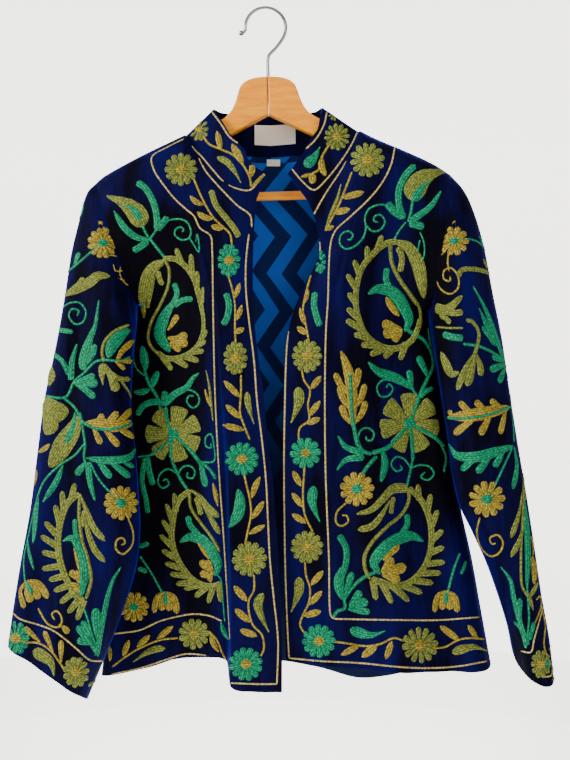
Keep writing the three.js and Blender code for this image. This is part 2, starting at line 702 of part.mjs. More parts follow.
function sleeveSheet(side) {
  const table = sleeves[side];
  const length = table[table.length - 1].down;
  const rings = Array.from({ length: sleeveRings + 1 }, (_, k) => length * (k / sleeveRings) ** 1.15);
  const behind = armholeStations.slice(1, -1).reverse().map((degrees) => 360 - degrees);
  const shares = [...armholeStations, ...behind].map((degrees) => degrees / 360);
  const cloth = sheet(
    shares,
    rings,
    (share, down) => sleevePoint(side, share, down),
    (point, share, down) => {
      const row = rowAt(table, "down", down);
      return vector((row.outX + row.inX) / 2, (row.outY + row.inY) / 2, (row.outZ + row.inZ) / 2).sub(point);
    },
    true,
  );
  shares.forEach((share, i) => {
    cloth.inward[i][0] = armholeInward(halves[side], share * 2 * Math.PI);
  });
  return cloth;
}

// The lining lies inside the back, from the collar seam to just under the hem
function liningSheet() {
  const columns = backColumns.filter((u) => u > 0.03 && u < 0.97);
  const rows = panelRows.slice(1);
  const offset = velvetThickness + liningGap;
  return sheet(
    columns,
    rows,
    (u, v) => {
      const i = backColumns.indexOf(u);
      const j = panelRows.indexOf(v);
      const drop = vector(0, 0, v === 1 ? -liningDrop : 0);
      return backSheet.points[i][j].clone().addScaledVector(backSheet.inward[i][j], offset).add(drop);
    },
    () => vector(0, -1, 0),
  );
}

// A label is a small sheet laid on the cloth behind it
function labelSheet(width, height, pointAt) {
  const columns = [0, 0.2, 0.4, 0.6, 0.8, 1];
  return sheet(columns, [0, 0.5, 1], (u, v) => pointAt((u - 0.5) * width, (0.5 - v) * height), () => vector(0, -1, 0));
}

// The collar's inner face at a given X, on its back
function collarInner(x, rise) {
  const topRow = collarRows.length - 1;
  const line = collarSheet.points.map((column, i) => ({
    x: column[0].x * (1 - rise) + column[topRow].x * rise,
    point: column[0].clone().lerp(column[topRow], rise),
    inward: collarSheet.inward[i][topRow / 2],
  }));
  const behind = line.slice(rightNeck.length, rightNeck.length + middleNeck.length);
  const k = Math.max(1, behind.findIndex((s) => s.x > x));
  const share = (x - behind[k - 1].x) / (behind[k].x - behind[k - 1].x);
  const inward = behind[k - 1].inward.clone().lerp(behind[k].inward, share).normalize();
  return behind[k - 1].point.clone().lerp(behind[k].point, share).addScaledVector(inward, collarThickness + labelGap);
}

const neckLabelSheet = labelSheet(neckLabel.width, neckLabel.height, (x, z) =>
  collarInner(neckLabel.x + x, neckLabel.rise + z / collarHeight),
);
const sizeTabSheet = labelSheet(sizeTab.width, sizeTab.height, (x, z) => {
  const share = (sizeTab.x + x - backNeck[0].x) / (backNeck[backNeck.length - 1].x - backNeck[0].x);
  const across = backNeckStart + share * (backNeckEnd - backNeckStart);
  const depth = velvetThickness + liningGap + liningThickness + tabGap;
  return vector(sizeTab.x + x, backPoint(across, 0.02).y - depth, sizeTab.z + z);
});

// Hanger: an arm's outline in X and Z, from the glued middle to its rounded end
function armOutline(sense) {
  const shape = new THREE.Shape();
  const at = (x, z) => [sense * x, z];
  shape.moveTo(...at(0.15, -81));
  shape.bezierCurveTo(...at(16, -80.5), ...at(27, -84), ...at(32, -91));
  shape.bezierCurveTo(...at(37, -99), ...at(37, -118), ...at(52, -128));
  shape.lineTo(...at(96.5, -151.9));
  shape.bezierCurveTo(...at(130, -167), ...at(170, -186.5), ...at(190, -200.2));
  shape.bezierCurveTo(...at(203, -211), ...at(202, -232), ...at(190, -233));
  shape.bezierCurveTo(...at(183, -233.5), ...at(177, -231), ...at(176.6, -226));
  shape.lineTo(...at(176.6, -212));
  shape.bezierCurveTo(...at(160, -201), ...at(130, -190), ...at(100, -176));
  shape.lineTo(...at(0.15, -125.5));
  shape.closePath();
  return shape;
}

function solidOf(geometry) {
  const bare = geometry.clone();
  bare.deleteAttribute("normal");
  bare.deleteAttribute("uv");
  const merged = mergeVertices(bare, 1e-3);
  const mesh = new wasm.Mesh({
    numProp: 3,
    vertProperties: merged.attributes.position.array,
    triVerts: new Uint32Array(merged.index.array),
  });
  return new wasm.Manifold(mesh);
}

function geometryOf(solid) {
  const mesh = solid.getMesh();
  const geometry = new THREE.BufferGeometry();
  geometry.setAttribute("position", new THREE.Float32BufferAttribute(mesh.vertProperties, 3));
  geometry.setIndex(new THREE.Uint32BufferAttribute(mesh.triVerts, 1));
  geometry.computeVertexNormals();
  return geometry;
}

// An arm is sawn from board, its edges rounded, with half the stem's bore in its glued face
function armGeometry(sense) {
  const board = new THREE.ExtrudeGeometry(armOutline(sense), {
    depth: hanger.thickness - 2 * hanger.bevel,
    bevelThickness: hanger.bevel,
    bevelSize: hanger.bevel,
    bevelOffset: -hanger.bevel,
    bevelSegments: 2,
    curveSegments: 7,
  });
  board.translate(0, 0, -hanger.thickness / 2 + hanger.bevel);
  board.rotateX(Math.PI / 2);
  const bore = new THREE.CylinderGeometry(hanger.wire + seamGap, hanger.wire + seamGap, hanger.boreLength, 12);
  bore.rotateX(Math.PI / 2);
  bore.translate(0, 0, hanger.boreLength / 2 - seamGap);
  bore.rotateY(hanger.tilt);
  bore.translate(0, 0, hanger.stemZ);
  return geometryOf(solidOf(board).subtract(solidOf(bore)));
}

// The hook's wire: up the stem, a kink to the right, round the crown and down to the ball
function hookGeometry() {
  const r = hanger.crownRadius;
  const crown = vector(0, 0, -r + hanger.wire);
  const onCrown = (degrees, radius = r) => {
    const turn = THREE.MathUtils.degToRad(degrees);
    return vector(crown.x + radius * Math.cos(turn), 0, crown.z + radius * Math.sin(turn));
  };
  const points = [vector(hanger.middle, 0, hanger.stemZ), vector(hanger.middle, 0, -78), vector(hanger.middle, 0, -58)];
  points.push(vector(hanger.middle + 1.5, 0, -54), vector(hanger.middle + 10, 0, -45));
  for (let turn = -32; turn <= 172; turn += 17) points.push(onCrown(turn));
  points.push(onCrown(190, r + 0.6), vector(-r - 4.6, 0, crown.z - 6.5));
  const path = new THREE.CatmullRomCurve3(points, false, "centripetal");
  const round = new THREE.Shape();
  round.absarc(0, 0, hanger.wire, 0, 2 * Math.PI, false);
  const wire = new THREE.ExtrudeGeometry(round, { steps: 56, extrudePath: path, curveSegments: 4, bevelEnabled: false });
  const ball = new THREE.SphereGeometry(hanger.ball, 12, 8);
  ball.translate(-r - 4.6, 0, crown.z - 6.5);
  return geometryOf(solidOf(wire).add(solidOf(ball)));
}

// Materials and the finished group
const velvet = { color: 0x0a0b45, roughness: 0.85, metalness: 0 };
const satin = { color: 0x1a5fa8, roughness: 0.45, metalness: 0 };
const woven = { color: 0xe8e4d8, roughness: 0.8, metalness: 0 };
const beech = { color: 0xe2a85c, roughness: 0.4, metalness: 0 };
const chrome = { color: 0xb8b8b8, roughness: 0.15, metalness: 1 };

const jacket = new THREE.Group();

function addPiece(parent, name, geometry, finish) {
  const mesh = new THREE.Mesh(geometry, new THREE.MeshStandardMaterial(finish));
  mesh.name = name;
  parent.add(mesh);
  return mesh;
}

addPiece(jacket, "front_right", wall(frontSheets.right, velvetThickness), velvet);
addPiece(jacket, "front_left", wall(frontSheets.left, velvetThickness), velvet);
addPiece(jacket, "back", wall(backSheet, velvetThickness), velvet);
addPiece(jacket, "sleeve_right", wall(sleeveSheet("right"), velvetThickness), velvet);
addPiece(jacket, "sleeve_left", wall(sleeveSheet("left"), velvetThickness), velvet);
addPiece(jacket, "collar", wall(collarSheet, collarThickness), velvet);
addPiece(jacket, "back_lining", wall(liningSheet(), liningThickness), satin);
addPiece(jacket, "neck_label", wall(neckLabelSheet, labelThickness), woven);
addPiece(jacket, "size_tab", wall(sizeTabSheet, labelThickness), woven);

const hangerWood = new THREE.Group();
hangerWood.position.set(hanger.middle, 0, hanger.stemZ);
hangerWood.rotation.y = -hanger.tilt;
jacket.add(hangerWood);

const woodInGroup = (geometry) => geometry.translate(0, 0, -hanger.stemZ);
addPiece(hangerWood, "hanger_arm_right", woodInGroup(armGeometry(-1)), beech);
addPiece(hangerWood, "hanger_arm_left", woodInGroup(armGeometry(1)), beech);
const rod = new THREE.CylinderGeometry(hanger.rodRadius, hanger.rodRadius, 2 * hanger.rodHalf, 20);
rod.rotateZ(Math.PI / 2);
rod.translate(0, 0, hanger.rodZ);
addPiece(hangerWood, "hanger_rod", woodInGroup(rod), beech);
addPiece(jacket, "hanger_hook", hookGeometry(), chrome);

export default jacket;
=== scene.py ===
# A suzani jacket of navy velvet, embroidered in chain stitch, hung open on a wooden hanger.
# Metres in Blender, millimetres in the cutting tables. -Y is the front, -X the wearer's right.

import math

import bpy
import numpy as np
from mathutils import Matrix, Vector
from mathutils.bvhtree import BVHTree


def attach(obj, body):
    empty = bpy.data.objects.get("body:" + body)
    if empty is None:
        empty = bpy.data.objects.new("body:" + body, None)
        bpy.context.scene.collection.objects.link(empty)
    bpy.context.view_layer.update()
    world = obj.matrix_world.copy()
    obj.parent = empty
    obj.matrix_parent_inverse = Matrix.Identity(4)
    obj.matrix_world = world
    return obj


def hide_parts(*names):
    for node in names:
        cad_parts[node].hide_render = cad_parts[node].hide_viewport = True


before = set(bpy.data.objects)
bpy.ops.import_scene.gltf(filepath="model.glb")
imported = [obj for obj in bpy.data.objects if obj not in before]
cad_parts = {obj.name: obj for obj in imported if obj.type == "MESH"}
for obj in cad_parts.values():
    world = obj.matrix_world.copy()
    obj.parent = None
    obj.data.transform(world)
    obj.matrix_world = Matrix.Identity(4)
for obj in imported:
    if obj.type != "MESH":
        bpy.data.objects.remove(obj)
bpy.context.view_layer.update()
MM = 0.001

# The camera stands where the photograph was taken from: level, a little over a metre in front.
# Its picture is 570 by 760, and one photo pixel covers 1.18 mm at the hanger's depth.
photo_width = 570
photo_height = 760
mm_per_pixel = 1.18
eye = np.array([23.0, -1100.0, -437.8])

camera_data = bpy.data.cameras.new("camera")
camera_data.sensor_fit = "VERTICAL"
camera_data.angle = 2 * math.atan(photo_height * mm_per_pixel / 2 / -eye[1])
camera = bpy.data.objects.new("camera", camera_data)
camera.location = eye * MM
camera.rotation_euler = (math.pi / 2, 0, 0)
bpy.context.collection.objects.link(camera)
bpy.context.scene.camera = camera


# The shell: cotton-backed velvet, dyed deep navy, cut with the pile running down.
# Pile lit across its tips glows blue, and pile looked into is nearly black.
def linear(hex_colour):
    channels = [int(hex_colour[i : i + 2], 16) / 255 for i in (1, 3, 5)]
    return [c / 12.92 if c <= 0.04045 else ((c + 0.055) / 1.055) ** 2.4 for c in channels] + [1.0]


def add_node(material, kind, links=(), **settings):
    node = material.node_tree.nodes.new(kind)
    for name, value in settings.items():
        if hasattr(node, name):
            setattr(node, name, value)
        else:
            node.inputs[name.replace("_", " ")].default_value = value
    for source, output, target in links:
        material.node_tree.links.new(source.outputs[output], node.inputs[target])
    return node


def new_material(name):
    material = bpy.data.materials.new(name)
    material.use_nodes = True
    material.node_tree.nodes.clear()
    return material


def finish_material(material, shader):
    output = material.node_tree.nodes.new("ShaderNodeOutputMaterial")
    material.node_tree.links.new(shader.outputs[0], output.inputs["Surface"])
    return material


# Where a piece hangs in shade behind its neighbour, its colour is painted near black as painted shade.
# The last argument gives that range, as x from and to and z from and to, in metres.
def cotton_velvet(name, glow, painted_shade_range=None):
    cloth = new_material(name)
    softness = 0.014
    place = add_node(cloth, "ShaderNodeTexCoord")
    hang = add_node(cloth, "ShaderNodeMapping", [(place, "Object", "Vector")])
    hang.inputs["Scale"].default_value = (1, 1, 0.22)
    crushed = add_node(
        cloth, "ShaderNodeTexNoise", [(hang, "Vector", "Vector")], Scale=30.0, Detail=4.0, Roughness=0.55
    )
    pile = add_node(cloth, "ShaderNodeTexNoise", [(place, "Object", "Vector")], Scale=1500.0, Detail=2.0)
    shades = add_node(cloth, "ShaderNodeValToRGB", [(crushed, "Fac", "Fac")])
    shades.color_ramp.elements[0].position = 0.38
    shades.color_ramp.elements[0].color = linear("#01000C")
    shades.color_ramp.elements[1].position = 0.68
    shades.color_ramp.elements[1].color = linear("#05023E")
    colour = (shades, "Color", "Base Color")
    if painted_shade_range:
        x_from, x_to, z_from, z_to = painted_shade_range
        where = add_node(cloth, "ShaderNodeSeparateXYZ", [(place, "Object", "Vector")])
        shade_edges = []
        for axis, start, rise in (
            ("X", x_from, softness),
            ("X", x_to, -softness),
            ("Z", z_from, 3 * softness),
            ("Z", z_to, -softness),
        ):
            edge = add_node(
                cloth, "ShaderNodeMapRange", [(where, axis, "Value")], interpolation_type="SMOOTHSTEP"
            )
            edge.inputs["From Min"].default_value = start - rise
            edge.inputs["From Max"].default_value = start + rise
            shade_edges.append(edge)
        across = add_node(
            cloth, "ShaderNodeMath", [(shade_edges[0], 0, 0), (shade_edges[1], 0, 1)], operation="MULTIPLY"
        )
        down = add_node(
            cloth, "ShaderNodeMath", [(shade_edges[2], 0, 0), (shade_edges[3], 0, 1)], operation="MULTIPLY"
        )
        area = add_node(cloth, "ShaderNodeMath", [(across, 0, 0), (down, 0, 1)], operation="MULTIPLY")
        # Inside that range the base colour is painted near black: painted shade.
        dye_and_painted_shade = add_node(cloth, "ShaderNodeMix", [
            (area, 0, "Factor"), (shades, "Color", 6)
        ], data_type="RGBA")
        dye_and_painted_shade.inputs[7].default_value = linear("#010006")
        colour = (dye_and_painted_shade, 2, "Base Color")
    nap = add_node(cloth, "ShaderNodeBump", [(pile, "Fac", "Height")], Strength=0.35, Distance=0.0006)
    dents = add_node(
        cloth, "ShaderNodeBump", [(crushed, "Fac", "Height"), (nap, "Normal", "Normal")], Strength=0.5,
        Distance=0.01
    )
    shader = add_node(
        cloth,
        "ShaderNodeBsdfPrincipled",
        [colour, (dents, "Normal", "Normal")],
        Roughness=0.72,
        Sheen_Weight=glow,
        Sheen_Tint=linear("#2030FF"),
        Sheen_Roughness=0.24,
        Specular_IOR_Level=0.04,
    )
    return finish_material(cloth, shader)


# The lining: polyester satin woven in a chevron of two blues, about 17 mm a stripe. It goes
# darker towards the hem, where the two fronts hang close and keep the light off it.
# Its weave is drawn coarser than the real one, so that it shows.
def chevron_satin():
    satin = new_material("blue_chevron_satin")
    stripe = 0.034
    zigzag = 0.045
    steepness = 0.66
    place = add_node(satin, "ShaderNodeTexCoord")
    split = add_node(satin, "ShaderNodeSeparateXYZ", [(place, "UV", "Vector")])
    fold = add_node(satin, "ShaderNodeMath", [(split, "Y", 0)], operation="PINGPONG")
    fold.inputs[1].default_value = zigzag
    rise = add_node(satin, "ShaderNodeMath", [(fold, 0, 0), (split, "X", 2)], operation="MULTIPLY_ADD")
    rise.inputs[1].default_value = steepness
    turn = add_node(satin, "ShaderNodeMath", [(rise, 0, 0)], operation="PINGPONG")
    turn.inputs[1].default_value = stripe / 2
    sharp = add_node(satin, "ShaderNodeMath", [(turn, 0, 0)], operation="GREATER_THAN")
    sharp.inputs[1].default_value = stripe / 4
    cloud = add_node(satin, "ShaderNodeTexNoise", [(place, "Object", "Vector")], Scale=30.0, Detail=3.0)
    blues = add_node(satin, "ShaderNodeMix", [(sharp, 0, "Factor")], data_type="RGBA")
    blues.inputs[6].default_value = linear("#01164A")
    blues.inputs[7].default_value = linear("#0452B4")
    height = add_node(satin, "ShaderNodeSeparateXYZ", [(place, "Object", "Vector")])
    deep = add_node(satin, "ShaderNodeMapRange", [(height, "Z", "Value")], interpolation_type="SMOOTHSTEP")
    deep.inputs["From Min"].default_value = -0.6
    deep.inputs["From Max"].default_value = -0.36
    shaded = add_node(satin, "ShaderNodeMix", [(deep, "Result", "Factor"), (blues, 2, 7)], data_type="RGBA")
    shaded.inputs[6].default_value = linear("#021038")
    threads = add_node(
        satin, "ShaderNodeTexWave", [(place, "UV", "Vector")], Scale=900.0, bands_direction="Y"
    )
    weave = add_node(satin, "ShaderNodeBump", [(threads, "Fac", "Height")], Strength=0.15, Distance=0.0003)
    rumple = add_node(
        satin, "ShaderNodeBump", [(cloud, "Fac", "Height"), (weave, "Normal", "Normal")], Strength=0.5,
        Distance=0.006
    )
    shader = add_node(
        satin,
        "ShaderNodeBsdfPrincipled",
        [(shaded, 2, "Base Color"), (rumple, "Normal", "Normal")],
        Roughness=0.5,
        Specular_IOR_Level=0.08,
    )
    return finish_material(satin, shader)


velvet = cotton_velvet("navy_cotton_velvet", 0.7)
# Copies of the velvet with painted shade: near black over the given range and with less sheen, where each
# piece hangs in its neighbour's shade.
velvet_with_painted_shade = {
    "front_right": cotton_velvet("navy_velvet_right_front_painted_shade", 0.3, (-0.3, -0.07, -0.68, -0.24)),
    "front_left": cotton_velvet("navy_velvet_left_front_painted_shade", 0.6, (0.168, 0.4, -0.6, -0.25)),
    "sleeve_left": cotton_velvet("navy_velvet_left_sleeve_painted_shade", 0.55, (0.0, 0.216, -0.47, -0.24)),
}
lining_cloth = chevron_satin()


# A cloth is a grid of points in mm, first across, then down. It is sewn up as a thin wall:
# velvet outside and round the edges, lining inside, with its UV in metres of cloth.
class Cloth:
    def __init__(self, name, points, inside, thickness, closed=False):
        self.name = name
        self.closed = closed
        across = np.roll(points, -1, 0) - np.roll(points, 1, 0)
        if not closed:
            across[0] = points[1] - points[0]
            across[-1] = points[-1] - points[-2]
        down = np.gradient(points, axis=1)
        inward = np.cross(across, down)
        inward /= np.linalg.norm(inward, axis=-1, keepdims=True) + 1e-12
        inward *= np.sign(np.sum(inward * inside, -1, keepdims=True))
        self.points = points
        self.inward = inward
        self.thickness = thickness
        count, rows = points.shape[:2]
        wrap = count if closed else count - 1
        i, j = np.meshgrid(np.arange(wrap), np.arange(rows - 1), indexing="ij")
        a = (i * rows + j).ravel()
        b = (((i + 1) % count) * rows + j).ravel()
        self.quads = np.stack([a, a + 1, b + 1, b], 1)
        flat = points.reshape(-1, 3)
        corners = flat[self.quads[0]]
        facing = np.cross(corners[1] - corners[0], corners[3] - corners[0])
        if facing @ inward.reshape(-1, 3)[self.quads[0, 0]] > 0:
            self.quads = self.quads[:, ::-1]
        self.tree = BVHTree.FromPolygons([tuple(p) for p in flat], [tuple(q) for q in self.quads.tolist()])

    def sewn(self, outside, inside):
        count, rows = self.points.shape[:2]
        outer = self.points.reshape(-1, 3)
        inner = outer + self.inward.reshape(-1, 3) * self.thickness
        shift = len(outer)
        rims = [np.arange(count) * rows, np.arange(count) * rows + rows - 1]
        if self.closed:
            rims = [np.append(rim, rim[0]) for rim in rims]
        else:
            rims += [np.arange(rows), (count - 1) * rows + np.arange(rows)]
        strips = [np.stack([r[:-1], r[1:], r[1:] + shift, r[:-1] + shift], 1) for r in rims]
        faces = np.concatenate([self.quads, self.quads[:, ::-1] + shift] + strips)
        mesh = bpy.data.meshes.new("sewn_" + self.name)
        mesh.from_pydata((np.concatenate([outer, inner]) * MM).tolist(), [], faces.tolist())
        mesh.materials.append(outside)
        mesh.materials.append(inside)
        lined = np.zeros(len(faces), int)
        lined[len(self.quads) : 2 * len(self.quads)] = 1
        mesh.polygons.foreach_set("material_index", lined)
        mesh.polygons.foreach_set("use_smooth", np.ones(len(faces), bool))
        step = np.linalg.norm(np.diff(self.points, axis=1), axis=-1)
        fall = np.concatenate([np.zeros((count, 1)), np.cumsum(step, 1)], 1)
        reach = np.linalg.norm(np.diff(self.points, axis=0), axis=-1).mean(1)
        width = np.concatenate([[0], np.cumsum(reach)])[:, None] + np.zeros((1, rows))
        layout = np.stack([width, -fall], -1).reshape(-1, 2) * MM
        loops = np.empty(len(mesh.loops), int)
        mesh.loops.foreach_get("vertex_index", loops)
        mesh.uv_layers.new(name="cloth").data.foreach_set("uv", layout[loops % shift].ravel())
        mesh.update()
        piece = bpy.data.objects.new("sewn_" + self.name, mesh)
        bpy.context.collection.objects.link(piece)
        hard = piece.modifiers.new("crisp_edges", "EDGE_SPLIT")
        hard.split_angle = math.radians(60)
        return piece


# The two fronts and the back, cut in velvet and lined. The halves hang differently, because the
# hanger is a touch askew. Ripples are the soft dents that velvet keeps from being folded.
# A cutting table has a row for a section or a corner, with the columns named first,
# and a value between rows is eased through its neighbours.
def table(names, *rows):
    return dict(zip(names.split(), np.array(rows, float).T))


def row_at(cut, key, value):
    keys = cut[key]
    order = np.sign(keys[-1] - keys[0])
    value = np.asarray(value, float)
    low = np.clip(np.searchsorted(keys * order, value * order, "right") - 1, 0, len(keys) - 2)
    before = np.maximum(np.arange(len(keys)) - 1, 0)
    after = np.minimum(np.arange(len(keys)) + 1, len(keys) - 1)
    span = keys[low + 1] - keys[low]
    t = np.clip((value - keys[low]) / span, 0, 1)
    row = {}
    for name, column in cut.items():
        slope = (column[after] - column[before]) / (keys[after] - keys[before])
        row[name] = (
            (2 * t**3 - 3 * t**2 + 1) * column[low]
            + (t**3 - 2 * t**2 + t) * span * slope[low]
            + (3 * t**2 - 2 * t**3) * column[low + 1]
            + (t**3 - t**2) * span * slope[low + 1]
        )
    return row


def ease(t):
    t = np.clip(t, 0, 1)
    return t * t * (3 - 2 * t)


def swell(t, at, width):
    return np.exp(-(((t - at) / width) ** 2))


def stack(x, y, z):
    return np.stack(np.broadcast_arrays(x, y, z), -1).astype(float)


velvet_thickness = 2.2
shoulder_rounding = 34.0
side_rounding = 40.0
neck_share = 0.5
underarm_share = 0.31
ring_squareness = 2.3
pleat_lip = 0.3
pleat_width = 0.03
dent_height = 0.9
left_band_share = 0.3

right_half = {
    "inward": 1,
    "tip": (-197.7, -205.5),
    "underarm": (-150, -350.5),
    "depth_of_hole": 36,
    "edge": table(
        "z x", (-229.3, -9.1), (-266, -12.5), (-347, -13.4), (-410, -7.6), (-451, -1.9),
        (-515, 4.9), (-597, 12.9), (-726, 19.4), (-786, 19.7),
    ),
    "side": table(
        "z x y", (-350.5, -150, 0), (-385, -157, 9), (-420, -162, 11), (-470, -164, 11),
        (-550, -170, 12), (-650, -180, 14), (-791, -197, 18.5),
    ),
    "hem": table(
        "across x z", (0, 20.4, -785.5), (0.15, -12, -785), (0.265, -36, -781), (0.33, -45, -760),
        (0.55, -90, -758), (0.78, -146, -777), (1, -197, -791),
    ),
    "neck": table(
        "share x y z", (0, -9.1, -32, -229.3), (0.19, -28.5, -34, -221.7), (0.36, -45.7, -33, -212.3),
        (0.57, -70.4, -26, -189.9), (0.81, -86.5, -17.5, -164.5), (0.9, -91.6, -10.5, -154.6),
        (1, -93.8, 0, -149.8),
    ),
    "shoulder": table(
        "share x z", (0, -93.8, -149.8), (0.4, -135.1, -169.8), (0.66, -162.3, -183.9),
        (0.9, -188.2, -198.4), (1, -197.7, -205.5),
    ),
    "depth": table(
        "down band valley flank", (0, -33, -33, -37), (0.15, -38, -38, -37), (0.3, -43, -41, -20),
        (0.45, -49, -38, -14), (0.6, -54, -33, -10), (0.8, -58, -29, -6), (1, -61, -27, -3),
    ),
    "folds": table("at width top hem", (0.52, 0.07, 0, -4), (0.7, 0.08, 2, 5)),
}
left_half = {
    "inward": -1,
    "tip": (216.6, -196.5),
    "underarm": (191.8, -357.5),
    "depth_of_hole": 36,
    "edge": table(
        "z x", (-232.9, 49.3), (-252, 57), (-281, 62.3), (-300, 60.5), (-327, 46.7), (-350, 36),
        (-382, 27), (-421, 21.9), (-500, 20.7), (-636, 20.9), (-755, 24.1),
    ),
    "side": table(
        "z x y", (-357.5, 191.8, 0), (-395, 200.5, 8), (-431, 209, 12), (-470, 215.5, 12),
        (-510, 221, 12), (-545, 225.5, 12), (-581, 230.5, 12), (-651, 246, 14), (-703, 255.5, 15.3),
        (-775.5, 269, 18.4),
    ),
    "hem": table(
        "across x z", (0, 24.1, -754.5), (0.12, 54, -758), (0.5, 146, -768), (0.8, 219, -776),
        (0.95, 258, -777.5), (1, 269, -775.5),
    ),
    "neck": table(
        "share x y z", (0, 49.3, -33, -232.9), (0.11, 60.8, -33, -228.1), (0.37, 80.7, -29, -203.5),
        (0.64, 98.9, -22, -177), (0.79, 104.5, -17.5, -162), (0.91, 108.5, -10, -148.8),
        (1, 109.7, 0, -145.2),
    ),
    "shoulder": table(
        "share x z", (0, 109.7, -145.2), (0.2, 130.4, -155.2), (0.52, 165.8, -170),
        (0.81, 196.5, -184.2), (1, 216.6, -196.5),
    ),
    "depth": table(
        "down band valley flank", (0, -33, -36, -36), (0.15, -36, -42, -34), (0.3, -39, -45, -23),
        (0.6, -44, -48, -19), (1, -47, -50, -21),
    ),
    "folds": table(
        "at width top hem", (0.36, 0.06, 0, -6), (0.56, 0.07, 1, 5), (0.8, 0.06, 3, -5)
    ),
}
back_neck = table(
    "share x y z", (0, -93.8, 0, -149.8), (0.14, -80, 19, -155), (0.32, -45, 32, -163),
    (0.5, 8, 36, -167), (0.68, 61, 32, -161), (0.86, 96, 19, -151), (1, 109.7, 0, -145.2),
)
back_hem = table(
    "across x z", (0, -197, -791), (0.22, -98, -775.5), (0.44, 10, -777), (0.55, 58, -785),
    (0.66, 108, -799), (0.74, 146, -796), (0.84, 190, -784), (1, 269, -775.5),
)
back_depth = table("down centre flank", (0, 36, 31), (0.12, 33, 32), (0.5, 35, 33), (1, 39, 35))
back_folds = table(
    "at width top hem", (0.22, 0.05, 0, 4), (0.4, 0.05, -1, -5), (0.62, 0.06, 0, 5), (0.8, 0.05, -1, -4)
)
back_neck_start = 0.29
back_neck_end = 0.71


def squared(angle):
    power = 2 / ring_squareness
    c = np.cos(angle)
    s = np.sin(angle)
    return np.sign(c) * np.abs(c) ** power, np.sign(s) * np.abs(s) ** power


def armhole(half, angle):
    tip = np.array(half["tip"], float)
    low = np.array(half["underarm"], float)
    c, s = squared(angle)
    middle = (tip + low) / 2
    up = (tip - low) / 2
    return stack(middle[0] + up[0] * c, -half["depth_of_hole"] * s, middle[1] + up[1] * c)


def side_line(half, down, sense):
    turn = np.arccos(1 - 2 * np.minimum(down, underarm_share) / underarm_share)
    hole = armhole(half, sense * turn)
    keys = half["side"]["z"]
    z = keys[0] + (keys[-1] - keys[0]) * np.clip((down - underarm_share) / (1 - underarm_share), 0, 1)
    seam = row_at(half["side"], "z", z)
    return np.where((down <= underarm_share)[..., None], hole, stack(seam["x"], seam["y"], z))


def front_top(half, across):
    neck = row_at(half["neck"], "share", np.clip(across / neck_share, 0, 1))
    ridge = row_at(half["shoulder"], "share", np.clip((across - neck_share) / (1 - neck_share), 0, 1))
    on_neck = (across <= neck_share)[..., None]
    return np.where(on_neck, stack(neck["x"], neck["y"], neck["z"]), stack(ridge["x"], 0, ridge["z"]))


def back_top(across):
    share = (across - back_neck_start) / (back_neck_end - back_neck_start)
    neck = row_at(back_neck, "share", np.clip(share, 0, 1))
    right = front_top(right_half, 1 - across / back_neck_start * (1 - neck_share))
    left = front_top(
        left_half, neck_share + (across - back_neck_end) / (1 - back_neck_end) * (1 - neck_share)
    )
    points = stack(neck["x"], neck["y"], neck["z"])
    points = np.where((across < back_neck_start)[..., None], right, points)
    return np.where((across > back_neck_end)[..., None], left, points)


def fold_depth(folds, across, down):
    total = np.zeros(np.broadcast(across, down).shape)
    for at, width, top, hem in zip(folds["at"], folds["width"], folds["top"], folds["hem"]):
        total = total + swell(across, at, width) * (top + (hem - top) * down) * ease(down * 4)
    return total


def front_depth(half, across, down):
    row = row_at(half["depth"], "down", down)
    inner = row["valley"] + (row["flank"] - row["valley"]) * ease((across - 0.36) / 0.5)
    if half["inward"] > 0:
        past_lip = ease((across - pleat_lip + pleat_width) / (2 * pleat_width))
    else:
        past_lip = ease(across / left_band_share)
    return row["band"] + (inner - row["band"]) * past_lip - fold_depth(half["folds"], across, down)


def back_depth_at(across, down):
    row = row_at(back_depth, "down", down)
    bowed = row["centre"] + (row["flank"] - row["centre"]) * (2 * across - 1) ** 2
    return bowed + fold_depth(back_folds, across, down)


def edge_hold(distance, radius):
    t = 1 - np.clip(distance / radius, 0, 1)
    return 1 - np.sqrt(1 - t * t)


def panel(across, down, top, hem, first, last):
    u = across[..., None]
    v = down[..., None]
    corners = top[0, 0], top[-1, 0], hem[0, 0], hem[-1, 0]
    return (
        (1 - v) * top + v * hem + (1 - u) * first + u * last
        - (1 - v) * ((1 - u) * corners[0] + u * corners[1])
        - v * ((1 - u) * corners[2] + u * corners[3])
    )


def dents(across, down, seed, height):
    waves = 0
    for k in range(5):
        swing = 1.7 * k + seed
        waves = waves + np.sin(
            (3 + 2.3 * k) * across * 2 + swing + 2.1 * np.sin(4 * down + swing)
        ) * np.sin(
            (5 + 1.9 * k) * down * 2 + 2.3 * swing
        )
    return height * waves / 3 * ease(down * 6)


def front_points(half, across, down):
    hem = row_at(half["hem"], "across", across)
    z = half["edge"]["z"]
    edge_z = z[0] + (z[-1] - z[0]) * down
    edge = row_at(half["edge"], "z", edge_z)
    top = front_top(half, across)
    side = side_line(half, down, 1)
    points = panel(across, down, top, stack(hem["x"], 0, hem["z"]), stack(edge["x"], 0, edge_z), side)
    one = np.ones_like(down)
    hold_top = edge_hold(np.abs(hem["z"] - top[..., 2]) * down, shoulder_rounding)
    hold_side = edge_hold(np.abs(side[..., 0] - edge["x"]) * (1 - across), side_rounding)
    points[..., 1] = (
        front_depth(half, across, down)
        + (top[..., 1] - front_depth(half, across, 0 * down)) * hold_top
        + (side[..., 1] - front_depth(half, one, down)) * hold_side
        + front_depth(half, one, 0 * down) * hold_top * hold_side
        + dents(across, down, half["inward"] * 1.3, dent_height) * (1 - hold_top) * (1 - hold_side)
    )
    return points


